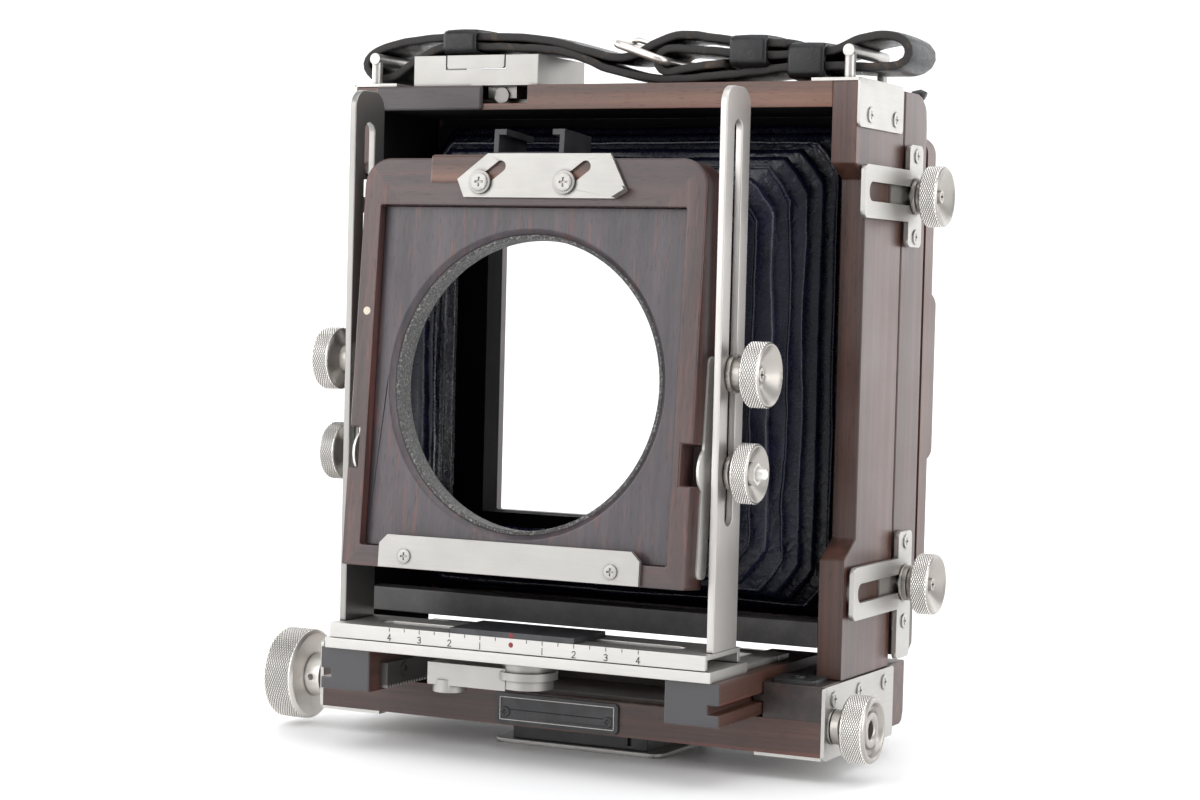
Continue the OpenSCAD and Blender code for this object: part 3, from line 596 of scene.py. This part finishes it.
def knurl(knob, body, rim_start, rim_end, pitch=0.70 * MM, rise=0.28 * MM):
    """A knurled sleeve on a knob whose axis is X, from rim_start to rim_end past the knob's inner
    face. Peaks and grooves alternate around and along it, and each cell is split from groove to
    groove, which makes the diamonds of a real knurl."""
    low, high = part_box(knob)
    centre = (low + high) / 2
    radius = (high.z - low.z) / 2
    away = 1 if centre.x > 0 else -1
    face = low.x if away > 0 else high.x
    around = 2 * round(math.pi * radius / pitch)
    length = rim_end - rim_start
    rows = max(2, 2 * round(length / pitch))
    points, faces, grooves = [], [], []
    for i in range(rows + 1):
        x = face + away * (rim_start + length * i / rows)
        for j in range(around):
            a = 2 * math.pi * j / around
            peak = (j + i) % 2 == 0
            edge = i in (0, rows)
            r = radius + (0.0 if edge else rise if peak else GROOVE_RISE)
            grooves.append(0.0 if peak or edge else 1.0)
            points.append(Vector((x, centre.y + r * math.cos(a), centre.z + r * math.sin(a))))
    for i in range(rows):
        for j in range(around):
            k = (j + 1) % around
            a, b = i * around + j, i * around + k
            c, d = (i + 1) * around + k, (i + 1) * around + j
            starts_in_groove = (j + i) % 2 == 1
            if starts_in_groove:
                faces += [(a, b, c), (a, c, d)]
            else:
                faces += [(a, b, d), (b, c, d)]
    inner = len(points)
    r = radius - SLEEVE
    for i in (0, rows):
        x = face + away * (rim_start + length * i / rows)
        for j in range(around):
            a = 2 * math.pi * j / around
            points.append(Vector((x, centre.y + r * math.cos(a), centre.z + r * math.sin(a))))
    top = rows * around
    for j in range(around):
        k = (j + 1) % around
        faces.append((j, k, inner + k, inner + j))
        faces.append((top + j, top + k, inner + around + k, inner + around + j))
        faces.append((inner + j, inner + k, inner + around + k, inner + around + j))
    sleeve = make_piece(knob + "_knurl", points, faces, [nickel_knurl], body, smooth=False)
    # the groove values tell the material where to paint shade
    values = sleeve.data.attributes.new("groove", "FLOAT", "POINT").data
    values.foreach_set("value", grooves + [0.0] * (len(points) - len(grooves)))


# where a knob's knurl starts and ends, in millimetres past its inner face
RIMS = {"rise_knob": (5.8, 11), "tilt_knob": (3.5, 8.1), "rear_knob_top": (4.1, 9), "rear_knob_low": (4.1, 9)}
for side in SIDES:
    for knob_name, (rim_from, rim_to) in RIMS.items():
        node_name = f"{knob_name}_{side}"
        knurl(node_name, node_name, rim_from * MM, rim_to * MM)
knurl("focus_knob", "focus_drive", 6.1 * MM, 15.2 * MM, pitch=0.84 * MM, rise=0.32 * MM)
knurl("focus_lock", "focus_lock", 4.75 * MM, 10.9 * MM)

# ---- bellows ----
PLEATS = 10
FIRST_PITCH, PITCH_STEP = 7.2 * MM, 0.27 * MM  # the pleats get narrower towards the rear
BELLOWS_START = -45.5 * MM
FRONT_HALF, REAR_HALF = 46 * MM, 72 * MM
FRONT_LOW, FRONT_HIGH = 63 * MM, 157.5 * MM
REAR_LOW, REAR_HIGH = 42.8 * MM, 186.6 * MM
SHEET = 0.7 * MM
RING_POINTS = 232
STEPS = 6  # rings between one fold line and the next
NECK_STEPS = STEPS + 3  # rings between the lens frame and the first fold line
SIDE_SHARE = 0.36  # the share of a quarter turn that lies on a side, before the corner cut
CORNER_BOW = 0.24  # four times the share by which a corner cut bulges
# the bodies at each sheet's front and rear, and the two fold lines that it spans, counted from the
# front; -1 stands for the neck behind the lens frame
SECTIONS = [
    ("lens_mount", "riser", -1, 3), ("riser", "standard", 3, 5), ("standard", "swivel", 5, 8),
    ("swivel", "carriage", 8, 9), ("carriage", "base", 9, 15), ("base", "rear_pivot", 15, 16),
    ("rear_pivot", "rear", 16, 20),
]
FIXED_FOLDS = {edge for section in SECTIONS for edge in section[2:]}


def fold_y(half_folds):
    """Depth of a fold line, counted in half pleats from the front."""
    whole, rest = divmod(half_folds, 2)
    y = BELLOWS_START + whole * FIRST_PITCH - PITCH_STEP * whole * (whole - 1) / 2
    return y + rest / 2 * (FIRST_PITCH - PITCH_STEP * whole)


def loop_point(s, half, low, high, cut_x, cut_z):
    """A point on a rectangle with cut, slightly bowed corners; s runs from 0 to 4, 1 to a quarter."""
    quarter = int(s) % 4
    t = s - int(s)
    sx, sz = ((1, 1), (-1, 1), (-1, -1), (1, -1))[quarter]
    middle, reach = (low + high) / 2, (high - low) / 2
    if quarter % 2:
        t = 1 - t
    # from the middle of a side (t 0) round the cut corner to the middle of the top (t 1)
    if t < SIDE_SHARE:
        x, z = half, (reach - cut_z) * t / SIDE_SHARE
    elif t > 1 - SIDE_SHARE:
        x, z = (half - cut_x) * (1 - t) / SIDE_SHARE, reach
    else:
        u = (t - SIDE_SHARE) / (1 - 2 * SIDE_SHARE)
        bow = CORNER_BOW * u * (1 - u)
        x = half - cut_x * u + bow * cut_x * 0.6
        z = reach - cut_z * (1 - u) + bow * cut_z * 0.6
    return sx * x, middle + sz * z


def bellows_ring(fold, depth_y, leaning=0.0):
    """One ring of the bellows at a fold position: even ones are valleys, odd ones are ridges. leaning
    is how far the ring is moved back onto the lens frame's leaning back face, from 0 to 1."""
    span = fold_y(2 * PLEATS) - BELLOWS_START
    t = min(1.0, max(0.0, (depth_y - BELLOWS_START) / span))
    zigzag = abs((fold % 2) - 1)  # 1 at a valley, 0 at a ridge
    zigzag = zigzag * zigzag * (3 - 2 * zigzag) * 0.35 + zigzag * 0.65
    ends = min(1.0, (2 * PLEATS - fold) / 2) if fold > 0 else 0.45
    inward = (5.4 * MM + 0.8 * MM * t) * zigzag * ends
    outward = 2.3 * MM * (1 - zigzag) * min(1.0, ends + 0.6)
    grow = outward - inward
    half = FRONT_HALF + (REAR_HALF - FRONT_HALF) * t + grow
    low = FRONT_LOW + (REAR_LOW - FRONT_LOW) * t - grow
    high = FRONT_HIGH + (REAR_HIGH - FRONT_HIGH) * t + grow
    soft = (1 - t) ** 1.2  # the leather is limper towards the front
    cut = (1.0 if fold > 0 else 0.55) * MM
    cut_x, cut_z = (8.5 - 2 * t) * cut, (11 - 2 * t) * cut
    joins_next_sheet = abs(fold - round(fold)) < 1e-6 and round(fold) in FIXED_FOLDS
    ring = []
    for j in range(RING_POINTS):
        x, z = loop_point(4 * j / RING_POINTS, half, low, high, cut_x, cut_z)
        at = Vector((x, depth_y, z))
        slow = noise.noise(at * 34 + Vector((0, fold * 0.5, 3))) * (0.25 + 2.0 * soft) * MM
        quick = noise.noise(at * 230 + Vector((7, 0, 0))) * (0.12 + 0.42 * soft) * MM
        push = (slow + quick) * (0.35 if zigzag > 0.9 else 1.0)
        if fold <= 0:
            push *= 0.2
        push = min(push, 0.25 * MM + 1.3 * MM * soft)
        out = Vector((x / half, 0, (z - (low + high) / 2) / ((high - low) / 2)))
        out = Vector((out.x ** 5, 0, out.z ** 5)).normalized()
        y = depth_y
        if fold > 0 and not joins_next_sheet:
            y += noise.noise(at * 32 + Vector((0, 0, 11 + fold))) * (0.3 + 0.8 * soft) * MM
        if leaning:
            plane = tilted(0, LENS_FRAME_BACK, (z - TILT_AXIS.z)).y
            y += (plane - y) * leaning
        ring.append(Vector((x, 0, z)) + out * push + Vector((0, y, 0)))
    return ring


def bellows_sections():
    """The bellows as a chain of sheets, each spanning two fold lines."""
    for index, (front_body, rear_body, first, last) in enumerate(SECTIONS):
        rings = []
        if first < 0:
            for i in range(NECK_STEPS):
                leaning = 1 - i / NECK_STEPS
                rings.append(bellows_ring(-2 * leaning, BELLOWS_START, leaning))
            first = 0
        for i in range((last - first) * STEPS + 1):
            fold = first + i / STEPS
            whole = math.floor(fold + 1e-9)
            y = fold_y(whole)
            if fold > whole:
                y += (fold_y(whole + 1) - y) * (fold - whole)
            rings.append(bellows_ring(fold, y))
        points, faces = loft(rings, closed_ends=False)
        sheet = make_piece(f"bellows_{index + 1}", points, faces, [bellows_hide])
        solid = sheet.modifiers.new("thickness", "SOLIDIFY")
        solid.thickness = SHEET
        solid.offset = -1
        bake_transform(sheet)
        if index == 0:
            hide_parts("bellows")


bellows_sections()

# ---- carrying strap ----
STRAP_Y = (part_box("strap")[0].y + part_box("strap")[1].y) / 2
STRAP_HALF = 10.5 * MM
STRAP_THICK = 2.5 * MM
# millimetres across and above the box: from the fold round the buckle bar, right, round both lugs,
# and back through the buckle
STRAP_PATH = [
    (38, 6.2), (27, 5.0), (19, 4.0), (16.2, 7.0), (19, 10.5), (30, 10.1), (46, 8.6), (60, 8.4), (72, 9.4),
    (80, 12.4), (88, 13.4), (93.4, 11.4), (94.6, 8.0), (92, 5.0), (84, 4.4), (72, 5.0), (60, 4.9),
    (46, 3.4), (28, 2.0), (14, 2.2), (0, 5.2), (-8, 8.2), (-18, 10.9), (-30, 12.0), (-46, 12.7),
    (-57, 12.5), (-67, 8.2), (-74, 4.0), (-80, 3.2), (-84, 6.6), (-82.6, 10.4), (-75, 13.4), (-62, 15.2),
    (-48, 15.5), (-34, 15.2), (-20, 13.8), (-8, 10.9), (2, 8.4), (9, 9.2), (16, 12.6), (24, 14.7),
    (36, 13.4), (46, 12.0), (58, 11.6),
]


def strap():
    """One long flat strap with soft crowned faces and worn, slightly wavy cut edges."""
    path = smooth_path([Vector((x * MM, BOX_TOP + z * MM)) for x, z in STRAP_PATH], 1.6 * MM)
    section = rounded_section(STRAP_HALF, STRAP_THICK / 2, 0.7 * MM, 3, 0.25 * MM)
    rings = []
    for i, here in enumerate(path):
        before, after = path[max(0, i - 1)], path[min(len(path) - 1, i + 1)]
        along = (after - before).normalized()
        up = Vector((-along.y, along.x))
        ring = []
        for p in section:
            wobble = noise.noise(Vector((here.x * 240, p.x * 60, here.y * 240))) * 0.22 * MM
            edge = 1 if abs(p.x) > STRAP_HALF * 0.8 else 0.3
            sway = noise.noise(Vector((i * 0.05, 4.2, 0))) * 0.5 * MM
            at = here + up * (p.y + wobble * edge)
            ring.append(Vector((at.x, STRAP_Y + p.x + sway + wobble * edge, at.y)))
        rings.append(ring)
    points, faces = loft(rings)
    count = len(section)
    indices = []
    for f in faces:
        if len(f) > 4:
            indices.append(1)
            continue
        across = sum(section[v % count].x for v in f) / 4
        indices.append(1 if abs(across) > STRAP_HALF - 0.35 * MM else 0)
    band = make_piece("strap_band", points, faces, [strap_hide, strap_edge], "base", True, indices)
    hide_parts("strap")


def keeper(name, x, low, high, width):
    """A leather loop round the strap's layers, in millimetres: its place across, its lower and upper
    faces above the box, and its width along the strap."""
    outer_half = STRAP_HALF + 1.9 * MM
    middle = (low + high) / 2 * MM
    reach = (high - low) / 2 * MM
    rings = []
    wall = 1.3 * MM
    slices = [(-1, 0), (-0.8, 0.35), (0, 0.6), (0.8, 0.35), (1, 0)]  # along the strap, and the bulge
    outside = [(s, outer_half + b * MM * 0.35, reach + b * MM * 0.5) for s, b in slices]
    inside = [(s, outer_half - wall, reach - wall) for s in (1, -1)]
    for share, half_width, half_height in outside + inside:
        outline = rounded_section(half_width, half_height, min(2.2 * MM, half_height * 0.8), 5, 0.3 * MM)
        px = (x + share * width / 2) * MM
        rings.append([Vector((px, STRAP_Y + p.x, BOX_TOP + middle + p.y)) for p in outline])
    rings.append(rings[0])
    points, faces = loft(rings, closed_ends=False)
    shape = make_piece(name, points, faces, [strap_hide], "base")
    weld(shape, 0.001 * MM)


WIRE_SIDES = 14


def wire(name, points, radius, material, body, cyclic=False):
    """A round wire along 3-D points."""
    count = len(points)
    rings = []
    for i, here in enumerate(points):
        if cyclic:
            before, after = points[i - 1], points[(i + 1) % count]
        else:
            before, after = points[max(0, i - 1)], points[min(count - 1, i + 1)]
        along = (after - before).normalized()
        side = along.cross(Vector((0.03, 0.1, 1))).normalized()
        up = side.cross(along).normalized()
        ring = []
        for j in range(WIRE_SIDES):
            a = 2 * math.pi * j / WIRE_SIDES
            ring.append(here + side * (radius * math.cos(a)) + up * (radius * math.sin(a)))
        rings.append(ring)
    if cyclic:
        rings.append(rings[0])
    shape_points, faces = loft(rings, closed_ends=not cyclic)
    shape = make_piece(name, shape_points, faces, [material], body)
    if cyclic:
        weld(shape, 0.001 * MM)
    return shape


def buckle():
    """A square wire buckle, tipped down to the right, with a bent prong."""
    centre = Vector((11.6 * MM, STRAP_Y, BOX_TOP + 9.6 * MM))
    tip = Matrix.Rotation(math.radians(19), 3, "Y")
    half_x, half_y, corner = 8.6 * MM, 13.3 * MM, 3.2 * MM
    outline = rounded_section(half_x, half_y, corner, 6)
    ring = [centre + tip @ Vector((p.x, p.y, 0)) for p in outline]
    frame_piece = wire("strap_buckle_ring", ring, 1.25 * MM, nickel_plain, "base", cyclic=True)
    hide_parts("strap_buckle")
    bar = [centre + tip @ Vector((4.4 * MM, half_y * s, 0)) for s in (-0.94, -0.4, 0.4, 0.94)]
    wire("strap_buckle_bar", bar, 0.9 * MM, nickel_plain, "base")
    prong = [(5.4, -0.8), (4.2, 1.5), (1.5, 2.4), (-4, 2.7), (-8, 2.5), (-9.4, 1.2)]
    prong_line = [centre + tip @ Vector((x * MM, 0.4 * MM, z * MM)) for x, z in prong]
    wire("strap_buckle_prong", prong_line, 0.85 * MM, nickel_plain, "base")


strap()
keeper("strap_keeper_left", -49.8, 10.1, 17.6, 11.2)
keeper("strap_keeper_middle", 46.2, 4.9, 14.0, 11.4)
keeper("strap_keeper_right", 64.4, 1.4, 11.4, 11.0)
buckle()


# ---- scales and marks ----
def block(name, low, high, material, body, leans=False, rounding=None):
    """A thin bevelled block between two corners, for a filled mark or a strip. leans says that the
    corners are given about the tilt axis, in the leaning lens frame's own directions."""
    corners = [Vector((x, y, z)) for x in (low[0], high[0]) for y in (low[1], high[1])
               for z in (low[2], high[2])]
    if leans:
        corners = [tilted(*corner) for corner in corners]
    faces = [(0, 1, 3, 2), (4, 6, 7, 5), (0, 4, 5, 1), (2, 3, 7, 6), (0, 2, 6, 4), (1, 5, 7, 3)]
    shape = make_piece(name, corners, faces, [material], body, smooth=False)
    thinnest = min(abs(b - a) for a, b in zip(low, high))
    bevel = shape.modifiers.new("edges", "BEVEL")
    bevel.width = rounding or thinnest * 0.3
    bevel.segments = 2


MARK = 0.04 * MM  # how far a filled mark stands proud
DOT_RADIUS, DOT_DEPTH = 0.75 * MM, 0.14 * MM
# the strokes of each numeral, across and up, as shares of its height
STROKES = {
    1: [[(0, 0), (0, 1)]],
    2: [[(-0.28, 0.8), (-0.12, 0.98), (0.14, 0.98), (0.28, 0.78), (0.2, 0.52), (-0.3, 0), (0.3, 0)]],
    3: [[(-0.28, 0.88), (0, 1), (0.26, 0.84), (0.2, 0.58), (0, 0.52), (0.26, 0.4), (0.26, 0.12),
         (0, 0), (-0.28, 0.12)]],
    4: [[(0.12, 0), (0.12, 1), (-0.32, 0.3), (0.32, 0.3)]],
}
STROKE_FACES = ((0, 1, 2, 3), (7, 6, 5, 4), (0, 4, 5, 1), (1, 5, 6, 2), (2, 6, 7, 3), (3, 7, 4, 0))


def stroke_mark(name, lines, at, height, pen, material, body, y):
    """Filled strokes on a face at depth y that looks towards -Y. lines are drawn from at, in units
    of height, with a pen of the given width."""
    points, faces = [], []
    for line in lines:
        spots = [Vector((at[0] + px * height, at[1] + pz * height)) for px, pz in line]
        for a, b in zip(spots, spots[1:]):
            along = (b - a).normalized() * pen / 2
            off = Vector((-along.y, along.x))
            quad = [a - along - off, b + along - off, b + along + off, a - along + off]
            base = len(points)
            points += [Vector((q.x, y - MARK, q.y)) for q in quad]
            points += [Vector((q.x, y + MARK, q.y)) for q in quad]
            faces += [tuple(base + i for i in face) for face in STROKE_FACES]
    piece = make_piece(name, points, faces, [material], body, smooth=False)


def disc(name, centre, radius, thickness, material, body, dome=0.0):
    """A small filled dot or pin facing -Y, with a softly domed face."""
    sides = 28
    rings = []
    profile = [(1.0, 1.0), (1.0, 0.25), (0.93, 0.05), (0.6, -dome * 0.6), (0.25, -dome * 0.95)]
    for share, depth in profile:
        ring = []
        for j in range(sides):
            a = 2 * math.pi * j / sides
            u, v = radius * share * math.cos(a), radius * share * math.sin(a)
            ring.append(centre + Vector((u, thickness * depth, v)))
        rings.append(ring)
    points, faces = loft(rings)
    piece = make_piece(name, points, faces, [material], body)
    return piece


def shift_scale():
    """Shift scale: a tick every 5 mm, numbered every 10 mm, and a red dot at zero on both plates."""
    low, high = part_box("scale_plate")
    front, top = low.y, high.z
    ticks = []
    for step in range(-8, 9):
        if step:
            x = step * 5 * MM
            length = 1.0 if step % 2 else 1.15
            ticks.append([(x, top - 0.25 * MM), (x, top - length * MM)])
    stroke_mark("scale_ticks", ticks, (0, 0), 1.0, 0.2 * MM, black_enamel, "standard", front)
    for number, strokes in STROKES.items():
        for side, sign in zip(SIDES, (-1, 1)):
            at = (sign * number * 10 * MM, top - 3.85 * MM)
            name = f"scale_{side}_{number}"
            stroke_mark(name, strokes, at, 1.8 * MM, 0.22 * MM, black_enamel, "standard", front)
    index_low, index_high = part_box("index_plate")
    scale_zero = Vector((0, front - MARK, top - 1.9 * MM))
    index_zero = Vector((0, index_low.y - MARK, (top + index_high.z) / 2))
    disc("scale_zero", scale_zero, DOT_RADIUS, DOT_DEPTH, red_enamel, "standard")
    disc("index_zero", index_zero, DOT_RADIUS, DOT_DEPTH, red_enamel, "swivel")


def stile_pin():
    """The round pin in the left stile of the lens frame."""
    pin = disc("stile_pin", Vector((0, 0, 0)), 1.25 * MM, 0.25 * MM, ivory, None, dome=0.5)
    place = tilted(-51.5 * MM, LENS_FRAME_FRONT - 0.02 * MM, 41 * MM)
    pin.data.transform(Matrix.Translation(place) @ Matrix.Rotation(-LEAN, 4, "X"))
    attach(pin, "lens_mount")


def rise_mark():
    """The red line on the outside of the left post at zero rise."""
    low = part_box("post_left")[0]
    height, width = 139 * MM, 0.4 * MM
    block("rise_mark", (low.x - MARK, low.y + 1 * MM, height), (low.x + MARK, low.y + 5 * MM, height + width),
          red_enamel, "standard")


def guide_strips():
    """Two bright strips let into the front end of the left bed rail."""
    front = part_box("bed_rail_left")[0].y
    for i, z in enumerate((20.9 * MM, 25.9 * MM)):
        low = (-66.5 * MM, front - 0.15 * MM, z)
        high = (-64.3 * MM, front + 1 * MM, z + 0.5 * MM)
        block(f"guide_strip_{i + 1}", low, high, metal_across, "base")


def beam_block():
    """The dark facing on the left end of the top beam, as far as the notch."""
    low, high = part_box("body_top")
    notch = -38 * MM
    block("beam_facing", (low.x, low.y - 1 * MM, low.z), (notch, low.y + 0.5 * MM, high.z - 0.1 * MM),
          wood_facing, "base", rounding=0.7 * MM)


def latch_seat():
    """The paler block let into the lens frame's top rail, behind the latch plate."""
    top = lens_frame_top + 0.2 * MM
    low = (-33 * MM, LENS_FRAME_FRONT - 0.3 * MM, top - 8.4 * MM)
    high = (22 * MM, LENS_FRAME_FRONT + 8 * MM, top)
    block("latch_seat", low, high, wood_seat, "lens_mount", leans=True, rounding=0.8 * MM)


def name_plate_border():
    """A fine pale border on the blank name plate."""
    low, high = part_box("name_plate")
    inset, line = 1.3 * MM, 0.22 * MM
    x0, x1, z0, z1 = low.x + inset, high.x - inset, low.z + inset, high.z - inset
    loop = [(x0, z0), (x1, z0), (x1, z1), (x0, z1), (x0, z0)]
    stroke_mark("name_plate_border", [loop], (0, 0), 1.0, line, white_enamel, "base", low.y + 0.25 * MM)


def rear_hook():
    """The small black catch that stands above the rear frame's right corner."""
    foot = Vector((rear_high.x - 4.6 * MM, rear_high.y - 4.2 * MM, rear_high.z))
    bends = [(0, -4.5), (0, -1.2), (1, 0.2), (2.8, 0.5), (4.2, -0.2)]
    line = [foot + Vector((x * MM, 0, z * MM)) for x, z in bends]
    wire("rear_hook", line, 1.5 * MM, black_metal, "rear")


shift_scale()
stile_pin()
rise_mark()
guide_strips()
beam_block()
latch_seat()
name_plate_border()
rear_hook()


# ---- camera, light and floor ----
AZIMUTH, ELEVATION, ROLL = (math.radians(v) for v in (26.278, 2.348, 1.434))
CAMERA_PLACE = (351.2 * MM, -725.1 * MM, 136.8 * MM)
FOCAL_LENGTH, SENSOR_WIDTH = 79.29, 36  # millimetres, as Blender wants them
ROOM_LIGHT = (0.72, 0.73, 0.75, 1)
ROOM_STRENGTH = 0.82
# name, place, the point it faces, width and height in metres, power in watts
LIGHTS = [
    ("overhead", (0.15, -0.25, 1.25), (0, 0, 0.1), 1.5, 1.1, 9),
    ("left_box", (-0.80, -1.20, 0.60), (0, 0, 0.12), 1.2, 1.1, 11),
    ("right_box", (1.25, -0.35, 0.55), (0, 0, 0.1), 0.8, 1.1, 8),
    ("back_right_box", (0.75, 1.15, 0.45), (0.08, 0, 0.1), 0.9, 0.9, 3.5),
    ("left_side", (-1.25, -0.10, 0.30), (-0.10, 0, 0.05), 0.9, 0.8, 7),
    ("back_left_box", (-1.15, 0.75, 0.40), (-0.08, 0, 0.08), 0.9, 0.9, 6),
    ("back_box", (-0.35, 1.1, 1.5), (-0.6, 1.9, 0.6), 2.2, 1.0, 14),
]


def view_camera():
    """Blender's camera, at the reference viewing angle."""
    level = math.cos(ELEVATION)
    back = Vector((math.sin(AZIMUTH) * level, -math.cos(AZIMUTH) * level, math.sin(ELEVATION)))
    right = Vector((math.cos(AZIMUTH), math.sin(AZIMUTH), 0))
    up = back.cross(right)
    turn = Matrix((right, up, back)).transposed() @ Matrix.Rotation(ROLL, 3, "Z")
    data = bpy.data.cameras.new("camera")
    data.sensor_width, data.lens = SENSOR_WIDTH, FOCAL_LENGTH
    data.clip_start, data.clip_end = 0.05, 20
    camera = bpy.data.objects.new("camera", data)
    camera.matrix_world = Matrix.Translation(CAMERA_PLACE) @ turn.to_4x4()
    bpy.context.scene.collection.objects.link(camera)
    bpy.context.scene.camera = camera


def floor_sweep():
    """A pale floor that turns up behind the subject in a quarter circle."""
    g = Graph("floor")
    tint = g.mix(g.noise(g.place, 900, 2), (0.91, 0.91, 0.915), (0.95, 0.95, 0.95))
    material = g.finish(Base_Color=tint, Roughness=0.42, Specular_IOR_Level=0.25)
    depth, rise, radius, half_width, bends = 2.2, 2.4, 0.8, 4.0, 12
    profile = [(-depth, 0.0), (depth - radius, 0.0)]
    for i in range(1, bends + 1):
        a = math.pi / 2 * i / bends
        profile.append((depth - radius + radius * math.sin(a), radius - radius * math.cos(a)))
    profile.append((depth, rise))
    points = [Vector((x, y, z)) for y, z in profile for x in (-half_width, half_width)]
    faces = [(2 * i, 2 * i + 1, 2 * i + 3, 2 * i + 2) for i in range(len(profile) - 1)]
    floor = make_piece("floor", points, faces, [material])
    floor.rotation_euler.z = AZIMUTH


def soft_lights():
    """Large soft boxes above and round the subject, unseen by the camera."""
    for name, place, aim, width, height, power in LIGHTS:
        light = bpy.data.lights.new(name, "AREA")
        light.shape = "RECTANGLE"
        light.size, light.size_y, light.energy = width, height, power
        lamp = bpy.data.objects.new(name, light)
        lamp.location = place
        lamp.visible_camera = False
        lamp.rotation_euler = (Vector(aim) - Vector(place)).to_track_quat("-Z", "Y").to_euler()
        bpy.context.scene.collection.objects.link(lamp)


def backdrop():
    """White where the camera looks past the subject, a softer grey as room light."""
    world = bpy.data.worlds.new("studio")
    world.use_nodes = True
    tree = world.node_tree
    background = tree.nodes["Background"]
    path = tree.nodes.new("ShaderNodeLightPath")
    seen = tree.nodes.new("ShaderNodeMix")
    seen.data_type = "RGBA"
    seen.inputs[6].default_value = ROOM_LIGHT
    seen.inputs[7].default_value = (1.0, 1.0, 1.0, 1)
    tree.links.new(path.outputs["Is Camera Ray"], seen.inputs[0])
    tree.links.new(seen.outputs[2], background.inputs["Color"])
    background.inputs["Strength"].default_value = ROOM_STRENGTH
    bpy.context.scene.world = world
    bpy.context.scene.view_settings.view_transform = "Standard"


view_camera()
floor_sweep()
soft_lights()
backdrop()
